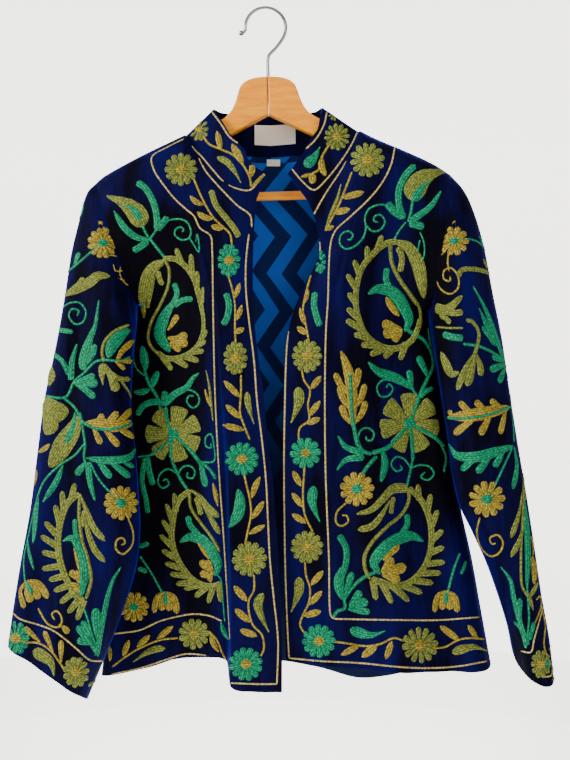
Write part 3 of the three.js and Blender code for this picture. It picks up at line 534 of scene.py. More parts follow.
def back_points(across, down):
    hem = row_at(back_hem, "across", across)
    top = back_top(across)
    right = side_line(right_half, down, -1)
    left = side_line(left_half, down, -1)
    points = panel(across, down, top, stack(hem["x"], 0, hem["z"]), right, left)
    width = left[..., 0] - right[..., 0]
    zero = np.zeros_like(down)
    hold_top = edge_hold(np.abs(hem["z"] - top[..., 2]) * down, shoulder_rounding)
    hold_right = edge_hold(width * across, side_rounding)
    hold_left = edge_hold(width * (1 - across), side_rounding)
    points[..., 1] = (
        back_depth_at(across, down)
        + (top[..., 1] - back_depth_at(across, zero)) * hold_top
        + (right[..., 1] - back_depth_at(zero, down)) * hold_right
        + (left[..., 1] - back_depth_at(zero + 1, down)) * hold_left
        + back_depth_at(zero, zero) * hold_top * hold_right
        + back_depth_at(zero + 1, zero) * hold_top * hold_left
        + dents(across, down, 4.1, dent_height) * (1 - hold_top)
    )
    return points


beside_armhole = underarm_share * (1 - np.cos(np.linspace(0, math.pi, 40))) / 2
below_armhole = np.linspace(underarm_share, 1, 92)[1:]
panel_rows = np.concatenate([beside_armhole, below_armhole])
front_columns = np.unique(
    np.concatenate([np.linspace(0, 1, 84), np.linspace(0.25, 0.35, 24), [0.004, 0.01, 0.99, 0.996]])
)
back_columns = np.unique(np.concatenate([np.linspace(0, 1, 130), [0.003, 0.007, 0.993, 0.997]]))

front_cloths = {}
for word, half in (("right", right_half), ("left", left_half)):
    across, down = np.meshgrid(front_columns, panel_rows, indexing="ij")
    inside = stack(0.6 * half["inward"] * ease((across - 0.8) * 5), 1, -0.8 * ease(1 - down * 12))
    front_cloths[word] = Cloth("front_" + word, front_points(half, across, down), inside, velvet_thickness)
across, down = np.meshgrid(back_columns, panel_rows, indexing="ij")
inside = stack(0.6 * (ease(1 - across * 5) - ease(across * 5 - 4)), -1, -0.8 * ease(1 - down * 12))
back_cloth = Cloth("back", back_points(across, down), inside, velvet_thickness)

for cloth, flat, area in (
    (front_cloths["right"], (0.30, 0.66), 0.185),
    (front_cloths["left"], (0.30, 0.66), 0.185),
    (back_cloth, (0.56, 0.68), 0.34),
):
    piece = cloth.sewn(velvet_with_painted_shade.get(cloth.name, velvet), lining_cloth)
    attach(piece, "root")
    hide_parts(cloth.name)


# The two sleeves: one seam under the arm, set in at the shoulder and open at the cuff.
# The wearer's right one swings forward of the body, and the left one hangs slack along a fold.
sleeve_columns = "down out_x out_y out_z in_x in_y in_z half drop"
sleeve_cuts = {
    "right": table(
        sleeve_columns,
        (0, -197.7, 0, -205.5, -150, 0, -350.5, 36, 0),
        (20, -209, -3, -219, -150, -12, -364, 35, 0),
        (64, -219, -9, -260, -149.5, -25, -384, 32, 0),
        (92, -224.5, -14, -288, -151, -28, -404, 30, 0),
        (150, -231.5, -22, -345, -152, -35, -438, 27, 0),
        (208, -240.5, -29, -403, -152.5, -38, -475, 25, 0),
        (264, -251, -34, -457, -147.5, -42, -512, 24, -1),
        (325, -258.5, -37, -518, -144, -41, -558, 24, -2),
        (394, -266.5, -39, -586, -141.5, -43, -609, 25, -3),
        (452, -276.5, -40, -643, -147, -44, -655, 26, -4),
        (507, -285, -41, -698, -170, -44, -724, 26, -6),
        (550, -290.5, -42, -740, -201, -44, -799, 25, -8),
    ),
    "left": table(
        sleeve_columns,
        (0, 216.6, 0, -196.5, 191.8, 0, -357.5, 36, 0),
        (27, 232.5, -2, -215, 192.4, -12, -373, 35, 0),
        (56, 243.8, -5, -240.6, 195, -22, -402, 33, 0),
        (97, 254.7, -8, -280, 200, -26, -435, 32, 0),
        (153, 264.5, -11, -335, 205.5, -28, -473, 31, 1),
        (205, 274.3, -14, -387, 210.5, -30, -508, 31, 1),
        (259, 281.5, -16, -440, 214.5, -30, -543, 32, 2),
        (318, 290, -18, -498, 223.5, -25, -580, 34, 3),
        (391, 301.6, -20, -571, 241.5, -11, -615, 35, 5),
        (446, 309.5, -21, -625, 257, -14, -650, 35, 8),
        (502, 317.5, -22, -680, 270.5, -17, -689, 34, 12),
        (551, 326.4, -23, -728, 280.5, -19, -723, 32, 17),
        (595, 331.2, -24, -772, 285.5, -20, -749, 30, 20),
    ),
}
sleeve_folds = {
    "right": table("at width rise", (0.12, 0.05, 3.5), (0.2, 0.04, -3), (0.36, 0.05, 3), (0.68, 0.06, -4)),
    "left": table("at width rise", (0.16, 0.05, -2.5), (0.4, 0.055, -7), (0.32, 0.05, 4), (0.72, 0.07, -5)),
}


def sleeve_points(side, share, down):
    row = row_at(sleeve_cuts[side], "down", down)
    c, s = squared(share * 2 * math.pi)
    outer = stack(row["out_x"], row["out_y"], row["out_z"])
    inner = stack(row["in_x"], row["in_y"], row["in_z"])
    folds = sleeve_folds[side]
    wave = 0
    for at, width, rise in zip(folds["at"], folds["width"], folds["rise"]):
        wave = wave + rise * swell(share, at, width)
    wave = wave * ease((down - 20) / 140) + 2.5 * dents(share, down / 600, 2.6, 0.5) * ease(down / 60)
    points = (outer + inner) / 2 + (outer - inner) / 2 * c[..., None]
    points[..., 1] -= row["half"] * s + wave * np.sign(s) * np.abs(s) ** 0.5
    points[..., 2] -= row["drop"] * s
    return points


sleeve_cloths = {}
for side, cut in sleeve_cuts.items():
    share, down = np.meshgrid(
        np.arange(104) / 104, np.linspace(0, 1, 120) ** 1.1 * cut["down"][-1], indexing="ij"
    )
    row = row_at(cut, "down", down)
    axis = stack(
        (row["out_x"] + row["in_x"]) / 2, (row["out_y"] + row["in_y"]) / 2, (row["out_z"] + row["in_z"]) / 2
    )
    points = sleeve_points(side, share, down)
    sleeve_cloths[side] = Cloth("sleeve_" + side, points, axis - points, velvet_thickness, closed=True)


# The stand collar: a straight band of doubled velvet, 49 mm high, sewn round the neckline.
collar_thickness = 2.6
collar_top = table(
    "share x y z", (0, 2.3, -30, -202.5), (0.061, -17.2, -31, -187.6), (0.1, -24, -28, -173),
    (0.163, -39.8, -20, -154), (0.218, -50.9, -13.5, -135), (0.245, -57, -9, -126),
    (0.27, -61.5, 0, -118.5), (0.338, -52, 20, -117), (0.4255, -25, 29, -118), (0.517, 5, 31, -118),
    (0.609, 35, 29, -117), (0.684, 58, 20, -116), (0.751, 67, 0, -116.5), (0.781, 66, -9.5, -123),
    (0.801, 64, -14, -131.5), (0.843, 60.3, -19, -147.7), (0.875, 53.1, -23, -158),
    (0.9225, 44.4, -27.5, -175), (0.963, 35.6, -30.5, -188.7), (1, 26.4, -32, -201.3),
)
foot = np.concatenate(
    [
        front_top(right_half, np.linspace(0, neck_share, 50)),
        back_top(np.linspace(back_neck_start, back_neck_end, 82)[1:-1]),
        front_top(left_half, np.linspace(neck_share, 0, 50)),
    ]
)
foot_length = np.concatenate([[0], np.cumsum(np.linalg.norm(np.diff(foot, axis=0), axis=1))])
crest = row_at(collar_top, "share", foot_length / foot_length[-1])
crest = stack(crest["x"], crest["y"], crest["z"])
rise = np.linspace(0, 1, 18)[None, :, None]
collar_points = foot[:, None] * (1 - rise) + crest[:, None] * rise
neck_centre = np.array([8.0, 2.0, -165.0])
collar_inside = neck_centre - collar_points
collar_inside[..., 2] = -6
front_columns_of_collar = 20
collar_inside[:front_columns_of_collar] = (0, 1, -0.2)
collar_inside[-front_columns_of_collar:] = (0, 1, -0.2)
collar_cloth = Cloth("collar", collar_points, collar_inside, collar_thickness)

for cloth, flat, area, held_by in (
    (sleeve_cloths["right"], (0.34, 0.60), 0.17, ["hanger_arm_right"]),
    (sleeve_cloths["left"], (0.34, 0.60), 0.17, ["hanger_arm_left"]),
    (collar_cloth, (0.46, 0.052), 0.022, ["hanger_arm_right", "hanger_arm_left"]),
):
    piece = cloth.sewn(
        velvet_with_painted_shade.get(cloth.name, velvet), velvet if cloth is collar_cloth else lining_cloth
    )
    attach(piece, "root")
    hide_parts(cloth.name)


# The back lining: the same satin, felled to the collar seam and left 1.5 mm long at the hem.
lining_gap = 0.5
lining_thickness = 1.0
lining_drop = 1.5
first_row = 6
side_columns = 4
covered = np.s_[side_columns:-side_columns, first_row:]
hung = back_cloth.points[covered] + back_cloth.inward[covered] * (velvet_thickness + lining_gap)
hung[:, -1, 2] -= lining_drop
lining = Cloth("back_lining", hung, np.array([0.0, -1.0, 0.0]), lining_thickness)
piece = lining.sewn(lining_cloth, lining_cloth)
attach(piece, "root")
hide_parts("back_lining")


# The labels: a bare woven taffeta tape in the collar and a bare size tab below it.
# Their weave is drawn coarser than the real one, so that it shows.
def woven_tape():
    tape = new_material("white_woven_tape")
    place = add_node(tape, "ShaderNodeTexCoord")
    weft = add_node(
        tape, "ShaderNodeTexWave", [(place, "Object", "Vector")], Scale=400.0, bands_direction="Z"
    )
    warp = add_node(tape, "ShaderNodeTexWave", [(place, "Object", "Vector")], Scale=400.0)
    crossed = add_node(tape, "ShaderNodeMath", [(weft, "Fac", 0), (warp, "Fac", 1)], operation="MULTIPLY")
    shades = add_node(tape, "ShaderNodeValToRGB", [(crossed, 0, "Fac")])
    shades.color_ramp.elements[0].color = linear("#D8D4C8")
    shades.color_ramp.elements[1].color = linear("#F4F1E8")
    weave = add_node(tape, "ShaderNodeBump", [(crossed, 0, "Height")], Strength=0.3, Distance=0.0004)
    shader = add_node(
        tape, "ShaderNodeBsdfPrincipled", [(shades, "Color", "Base Color"), (weave, "Normal", "Normal")],
        Roughness=0.7
    )
    return finish_material(tape, shader)


tape = woven_tape()
for name in ("neck_label", "size_tab"):
    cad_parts[name].data.materials.clear()
    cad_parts[name].data.materials.append(tape)


# The hanger: two arms of steamed beech glued at the middle, a turned beech rod, and a sprung
# wire hook. The wood is sanded and clear-lacquered, the wire polished and chromed.
def lacquered_beech(name, grain_along_rod):
    beech = new_material(name)
    place = add_node(beech, "ShaderNodeTexCoord")
    grain = add_node(beech, "ShaderNodeMapping", [(place, "Object", "Vector")])
    grain.inputs["Scale"].default_value = (4, 60, 60) if grain_along_rod else (9, 60, 55)
    figure = add_node(
        beech, "ShaderNodeTexNoise", [(grain, "Vector", "Vector")], Scale=3.0, Detail=6.0, Roughness=0.65
    )
    flecks = add_node(beech, "ShaderNodeTexVoronoi", [(grain, "Vector", "Vector")], Scale=22.0)
    shades = add_node(beech, "ShaderNodeValToRGB", [(figure, "Fac", "Fac")])
    shades.color_ramp.elements[0].position = 0.3
    shades.color_ramp.elements[0].color = linear("#C87000")
    shades.color_ramp.elements[1].position = 0.7
    shades.color_ramp.elements[1].color = linear("#F09A00")
    pores = add_node(
        beech, "ShaderNodeBump", [(flecks, "Distance", "Height")], Strength=0.08, Distance=0.0005
    )
    shader = add_node(
        beech,
        "ShaderNodeBsdfPrincipled",
        [(shades, "Color", "Base Color"), (pores, "Normal", "Normal")],
        Roughness=0.45,
        Specular_IOR_Level=0.2,
        Coat_Weight=0.12,
        Coat_Roughness=0.2,
    )
    return finish_material(beech, shader)


def chromed_wire():
    chrome = new_material("chromed_steel_wire")
    place = add_node(chrome, "ShaderNodeTexCoord")
    wipe = add_node(chrome, "ShaderNodeTexNoise", [(place, "Object", "Vector")], Scale=160.0)
    smear = add_node(chrome, "ShaderNodeMapRange", [(wipe, "Fac", "Value")])
    smear.inputs["To Min"].default_value = 0.12
    smear.inputs["To Max"].default_value = 0.24
    shader = add_node(
        chrome, "ShaderNodeBsdfPrincipled", [(smear, "Result", "Roughness")], Metallic=1.0,
        Base_Color=linear("#77797D")
    )
    return finish_material(chrome, shader)


arm_beech = lacquered_beech("lacquered_beech", False)
rod_beech = lacquered_beech("lacquered_beech_rod", True)
# The arms' joint is filled with glue, which has darkened a little.
hanger_middle = 3
glue = new_material("aged_wood_glue")
glue_joint = table("z half", (-80.6, 3), (-82, 5.2), (-100, 5.6), (-122, 5.2), (-124.4, 3))
glue_width = 0.32
glue_side = np.stack([hanger_middle + 0 * glue_joint["z"], glue_joint["half"], glue_joint["z"]], 1)
glue_corners = []
for shift in (-glue_width / 2, glue_width / 2):
    for side in (glue_side, glue_side * (1, -1, 1)):
        glue_corners.append(side + (shift, 0, 0))
glue_count = len(glue_side)
glue_mesh = bpy.data.meshes.new("glue_line")
glue_faces = []
for k in range(glue_count - 1):
    for a, b in ((0, 1), (1, 3), (3, 2), (2, 0)):
        here = a * glue_count + k
        beside = b * glue_count + k
        glue_faces.append((here, beside, beside + 1, here + 1))
glue_faces.append(tuple(k * glue_count for k in (0, 1, 3, 2)))
glue_faces.append(tuple(k * glue_count + glue_count - 1 for k in (2, 3, 1, 0)))
glue_mesh.from_pydata((np.concatenate(glue_corners) * MM).tolist(), [], glue_faces)
glue_shader = add_node(glue, "ShaderNodeBsdfPrincipled", Base_Color=linear("#8A4A0C"), Roughness=0.6)
glue_mesh.materials.append(finish_material(glue, glue_shader))
glue_line = bpy.data.objects.new("glue_line", glue_mesh)
bpy.context.collection.objects.link(glue_line)
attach(glue_line, "root")

for name, finish in (
    ("hanger_arm_right", arm_beech),
    ("hanger_arm_left", arm_beech),
    ("hanger_rod", rod_beech),
    ("hanger_hook", chromed_wire()),
):
    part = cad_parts[name]
    part.data.materials.clear()
    part.data.materials.append(finish)
    for face in part.data.polygons:
        face.use_smooth = True
    keep_edges = part.modifiers.new("crisp_edges", "EDGE_SPLIT")
    keep_edges.split_angle = math.radians(38)


# Suzani embroidery: rows of chain stitch in wool and silk, worked on the cut velvet before it is
# sewn up. Four threads are used, and the stitches stand a little proud of the pile. Rows are
# drawn 2.6 mm wide and stitches 5 mm long, a little coarser than real ones, so that they show.
def chain_stitch(name, painted_hollow_shade, crest):
    thread = new_material(name)
    row_width = 0.0026
    stitch_length = 0.005
    stitch_slant = 1.3
    brick_shift = 0.37
    place = add_node(thread, "ShaderNodeTexCoord")
    split = add_node(thread, "ShaderNodeSeparateXYZ", [(place, "UV", "Vector")])
    centred = add_node(thread, "ShaderNodeMath", [(split, "X", 0)], operation="ADD")
    centred.inputs[1].default_value = row_width / 2
    row = add_node(thread, "ShaderNodeMath", [(centred, 0, 0)], operation="PINGPONG")
    row.inputs[1].default_value = row_width / 2
    slant = add_node(thread, "ShaderNodeMath", [(row, 0, 0), (split, "Y", 2)], operation="MULTIPLY_ADD")
    slant.inputs[1].default_value = stitch_slant
    counted = add_node(thread, "ShaderNodeMath", [(centred, 0, 0)], operation="DIVIDE")
    counted.inputs[1].default_value = row_width
    number = add_node(thread, "ShaderNodeMath", [(counted, 0, 0)], operation="FLOOR")
    brick = add_node(thread, "ShaderNodeMath", [(number, 0, 0), (slant, 0, 2)], operation="MULTIPLY_ADD")
    brick.inputs[1].default_value = stitch_length * brick_shift
    link = add_node(thread, "ShaderNodeMath", [(brick, 0, 0)], operation="PINGPONG")
    link.inputs[1].default_value = stitch_length / 2
    loop = add_node(thread, "ShaderNodeMapRange", [(link, 0, "Value")])
    loop.inputs["From Max"].default_value = stitch_length / 4
    loop.inputs["To Min"].default_value = 0.45
    cord = add_node(thread, "ShaderNodeMapRange", [(row, 0, "Value")])
    cord.inputs["From Max"].default_value = row_width / 3
    cord.inputs["To Min"].default_value = 0.25
    fuzz = add_node(thread, "ShaderNodeTexNoise", [(place, "Object", "Vector")], Scale=380.0, Detail=2.0)
    wisps = add_node(thread, "ShaderNodeMapRange", [(fuzz, "Fac", "Value")])
    wisps.inputs["From Min"].default_value = 0.38
    wisps.inputs["From Max"].default_value = 0.6
    wisps.inputs["To Min"].default_value = 0.35
    strand = add_node(
        thread, "ShaderNodeMath", [(loop, "Result", 0), (cord, "Result", 1)], operation="MULTIPLY"
    )
    scaled = add_node(
        thread, "ShaderNodeMath", [(strand, 0, 0), (wisps, "Result", 1)], operation="MULTIPLY"
    )
    faded = add_node(thread, "ShaderNodeTexNoise", [(place, "Object", "Vector")], Scale=24.0, Detail=2.0)
    # The colour is painted darker in the gaps between links and rows as painted shade, and full on the
    # links' crests. Random fuzz and dye patches vary it.
    shades = add_node(thread, "ShaderNodeMix", [(scaled, 0, "Factor")], data_type="RGBA")
    shades.inputs[6].default_value = linear(painted_hollow_shade)
    shades.inputs[7].default_value = linear(crest)
    dye_and_painted_shade = add_node(thread, "ShaderNodeHueSaturation", [(shades, 2, "Color")])
    patchy = add_node(thread, "ShaderNodeMapRange", [(faded, "Fac", "Value")])
    patchy.inputs["To Min"].default_value = 0.86
    patchy.inputs["To Max"].default_value = 1.14
    thread.node_tree.links.new(patchy.outputs["Result"], dye_and_painted_shade.inputs["Value"])
    twist = add_node(thread, "ShaderNodeBump", [(fuzz, "Fac", "Height")], Strength=0.3, Distance=0.0003)
    ridges = add_node(
        thread, "ShaderNodeBump", [(scaled, 0, "Height"), (twist, "Normal", "Normal")], Strength=0.8,
        Distance=0.0006
    )
    shader = add_node(
        thread,
        "ShaderNodeBsdfPrincipled",
        [(dye_and_painted_shade, "Color", "Base Color"), (ridges, "Normal", "Normal")],
        Roughness=0.62,
        Specular_IOR_Level=0.14,
    )
    return finish_material(thread, shader)


# Each thread gets the painted shade for its hollows first, then its colour on the crests.
threads = {
    "emerald": chain_stitch("emerald_silk_thread", "#003022", "#009060"),
    "olive": chain_stitch("olive_wool_thread", "#22260A", "#828A36"),
    "gold": chain_stitch("gold_wool_thread", "#382A06", "#A8942C"),
    "cord": chain_stitch("beige_gold_cord", "#544420", "#C2AE6A"),
}
thread_names = list(threads)
stroke_profiles = table(
    "t even leaf petal drop wedge taper finger",
    (0, 0.4, 0.14, 0.3, 0.12, 0.3, 0.85, 0.9),
    (0.04, 0.8, 0.34, 0.4, 0.17, 0.36, 0.95, 1),
    (0.12, 1, 0.6, 0.5, 0.27, 0.46, 1, 1),
    (0.3, 1, 0.9, 0.68, 0.5, 0.62, 0.94, 0.96),
    (0.5, 1, 1, 0.86, 0.8, 0.78, 0.84, 0.9),
    (0.7, 1, 0.92, 1, 1, 0.93, 0.68, 0.82),
    (0.86, 1, 0.66, 0.95, 0.93, 1, 0.52, 0.74),
    (0.95, 0.8, 0.42, 0.68, 0.62, 0.86, 0.38, 0.54),
    (1, 0.4, 0.16, 0.2, 0.15, 0.35, 0.16, 0.2),
)
ribs = np.array([-1, -0.66, -0.24, 0.24, 0.66, 1])
stitch_rise = 0.55
rise_per_width = 0.06
highest_rise = 1.3
sunk_edge = -0.25


def smooth_path(path, count):
    path = np.asarray(path, float)
    if len(path) == 2:
        return path[0] + (path[1] - path[0]) * np.linspace(0, 1, count)[:, None]
    reach = np.concatenate([[0], np.cumsum(np.linalg.norm(np.diff(path, axis=0), axis=1))])
    way = row_at({"s": reach, "x": path[:, 0], "y": path[:, 1]}, "s", np.linspace(0, reach[-1], count))
    return np.stack([way["x"], way["y"]], 1)


def path_length(path):
    return float(np.linalg.norm(np.diff(np.asarray(path, float), axis=0), axis=1).sum()) * mm_per_pixel


# One hooping: all the stitches on one piece of cloth, seen from in front or from behind.
class Hoop:
    def __init__(self, cloth, behind=False):
        self.cloth = cloth
        self.eye = eye * (1, -1, 1) if behind else eye
        self.points = []
        self.faces = []
        self.layout = []
        self.slots = []

    def pierce(self, px, py):
        x = eye[0] + (px - photo_width / 2) * mm_per_pixel
        z = eye[2] - (py - photo_height / 2) * mm_per_pixel
        ray = Vector((x, 0, z)) - Vector(self.eye)
        spot, face_normal, _, _ = self.cloth.tree.ray_cast(Vector(self.eye), ray.normalized())
        return None if spot is None else (spot, face_normal)

    def run(self, thread, path, width, profile="even", lift=0.0, step=2.4):
        count = int(np.clip(path_length(path) / step, 5, 400)) + 1
        t = np.linspace(0, 1, count)
        if count < 30:
            t = (t + (1 - np.cos(math.pi * t)) / 2) / 2
        dense = smooth_path(path, 4 * count)
        way = np.stack([np.interp(t, np.linspace(0, 1, len(dense)), dense[:, k]) for k in (0, 1)], 1)
        wide = row_at(stroke_profiles, "t", t)[profile] * width
        if profile == "even":
            wide = np.interp(
                np.minimum(t, 1 - t) * path_length(path), [0, 0.3, 0.8], [0.3, 0.75, 1]
            ) * width
        hits = []
        for k, (px, py) in enumerate(way):
            hit = self.pierce(px, py)
            if hit is None:
                self.sew(thread, hits, wide[k - len(hits) : k], lift)
                hits = []
            else:
                hits.append(hit)
        self.sew(thread, hits, wide[len(way) - len(hits) :], lift)

    def sew(self, thread, hits, wide, lift):
        if len(hits) < 3:
            return
        line = np.array([tuple(spot) for spot, _ in hits])
        normals = np.array([tuple(normal) for _, normal in hits])
        ahead = np.gradient(line, axis=0)
        ahead /= np.linalg.norm(ahead, axis=1, keepdims=True) + 1e-9
        side = np.cross(normals, ahead)
        side /= np.linalg.norm(side, axis=1, keepdims=True) + 1e-9
        along = np.concatenate([[0], np.cumsum(np.linalg.norm(np.diff(line, axis=0), axis=1))])
        first = len(self.points)
        for k in range(len(line)):
            height = min(stitch_rise + rise_per_width * wide[k], highest_rise)
            for rib in ribs:
                spot, out, _, _ = self.cloth.tree.find_nearest(Vector(
                    line[k] + side[k] * rib * wide[k] / 2
                ))
                rise = lift + (height * math.sqrt(1 - rib * rib) if abs(rib) < 1 else sunk_edge)
                self.points.append(tuple(spot + out * rise))
                self.layout.append((rib * wide[k] / 2, along[k]))
        for k in range(len(line) - 1):
            for rib in range(len(ribs) - 1):
                a = first + k * len(ribs) + rib
                self.faces.append((a, a + len(ribs), a + len(ribs) + 1, a + 1))
                self.slots.append(thread_names.index(thread))

    # Motifs. Places are photo pixels; sizes are mm; turns are degrees anticlockwise from the right.
    def daisy(self, px, py, radius, petal_thread, disc_thread, petals=12, turn=0.0, flat=1.0):
        reach = radius / mm_per_pixel
        petal_start = 0.22
        widest_at = 0.8
        petal_fill = 0.92
        for k in range(petals):
            angle = math.radians(turn + 360 * k / petals)
            ray = np.array([math.cos(angle) * flat, -math.sin(angle)])
            base = (px, py) + ray * reach * petal_start
            tip = (px, py) + ray * reach
            wide = 2 * math.pi * radius * widest_at / petals * petal_fill * (0.6 + 0.4 * flat)
            self.run(petal_thread, [base, tip], wide, "petal", step=1.8)
        self.dot(disc_thread, px, py, radius * 0.3, lift=0.35)

    def dot(self, thread, px, py, radius, lift=0.0):
        reach = radius / mm_per_pixel
        swings = math.pi / 2 * np.linspace(-1, 1, 9)
        hits = [self.pierce(px + reach * math.sin(swing), py) for swing in swings]
        if all(hits):
            wide = 2 * radius * np.sqrt(np.clip(1 - np.sin(swings) ** 2, 0.02, 1))
            self.sew(thread, hits, wide, lift)

    def curl(self, thread, px, py, radius, turns=1.25, start=0.0, hand=1, width=2.6):
        reach = radius / mm_per_pixel
        path = []
        for t in np.linspace(0, 1, 22):
            angle = math.radians(start) + hand * 2 * math.pi * turns * t
            out = reach * (1 - 0.82 * t)
            path.append((px + out * math.cos(angle), py - out * math.sin(angle)))
        self.run(thread, path, width)

    def leaves(self, thread, leaf_places, profile="leaf", lift=0.0):
        for base_x, base_y, tip_x, tip_y, width, bend in zip(*leaf_places.values()):
            base = np.array([base_x, base_y])
            tip = np.array([tip_x, tip_y])
            middle = (base + tip) / 2 + np.array([tip_y - base_y, base_x - tip_x]) * bend
            self.run(thread, [base, middle, tip], width, profile, lift)

    def rosette(self, px, py, radius, petals, turn):
        reach = radius / mm_per_pixel
        petal_start = 0.16
        widest_at = 0.86
        petal_fill = 0.88
        for k in range(petals):
            angle = math.radians(turn + 360 * k / petals)
            ray = np.array([math.cos(angle), -math.sin(angle)])
            wide = 2 * math.pi * radius * widest_at / petals * petal_fill
            self.run("olive", [
                (px, py) + ray * reach * petal_start, (px, py) + ray * reach
            ], wide, "wedge", step=1.8)
        self.dot("emerald", px, py, radius * 0.2, lift=0.8)

    def tulip(self, px, py, turn, length):
        reach = length / mm_per_pixel
        for swing, share, wide in ((-38, 0.95, 9), (-14, 0.75, 10), (14, 0.75, 10), (38, 0.95, 9)):
            angle = math.radians(turn + swing * 0.75)
            tip = (px + reach * share * math.cos(angle), py - reach * share * math.sin(angle))
            wide_angle = math.radians(turn + swing * 1.5)
            middle = (px + reach * 0.4 * math.cos(wide_angle), py - reach * 0.4 * math.sin(wide_angle))
            self.run("gold", [(px, py), middle, tip], wide, "petal")
        core = math.radians(turn)
        self.run("emerald", [(px, py), (
            px + reach * 0.48 * math.cos(core), py - reach * 0.48 * math.sin(core)
        )], 7, "petal", 0.7)

    def finish(self, name):
        mesh = bpy.data.meshes.new(name)
        mesh.from_pydata((np.array(self.points) * MM).tolist(), [], self.faces)
        for thread in threads.values():
            mesh.materials.append(thread)
        mesh.polygons.foreach_set("material_index", self.slots)
        mesh.polygons.foreach_set("use_smooth", np.ones(len(self.faces), bool))
        loops = np.empty(len(mesh.loops), int)
        mesh.loops.foreach_get("vertex_index", loops)
        mesh.uv_layers.new(name="stitches").data.foreach_set(
            "uv", (np.array(self.layout)[loops] * MM).ravel()
        )
        mesh.update()
        work = bpy.data.objects.new(name, mesh)
        bpy.context.collection.objects.link(work)
        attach(work, "root")
        return work


# Leaf tables share these columns: base and tip in photo pixels, width in mm, bend as a share.
leaf_columns = "base_x base_y tip_x tip_y width bend"


def trail(*places):
    return table("px py", *places)


def along(places):
    return np.stack([places["px"], places["py"]], 1)


def stitch_all(hoop, strokes):
    for thread, width, profile, places in strokes:
        hoop.run(thread, along(places), width, profile)


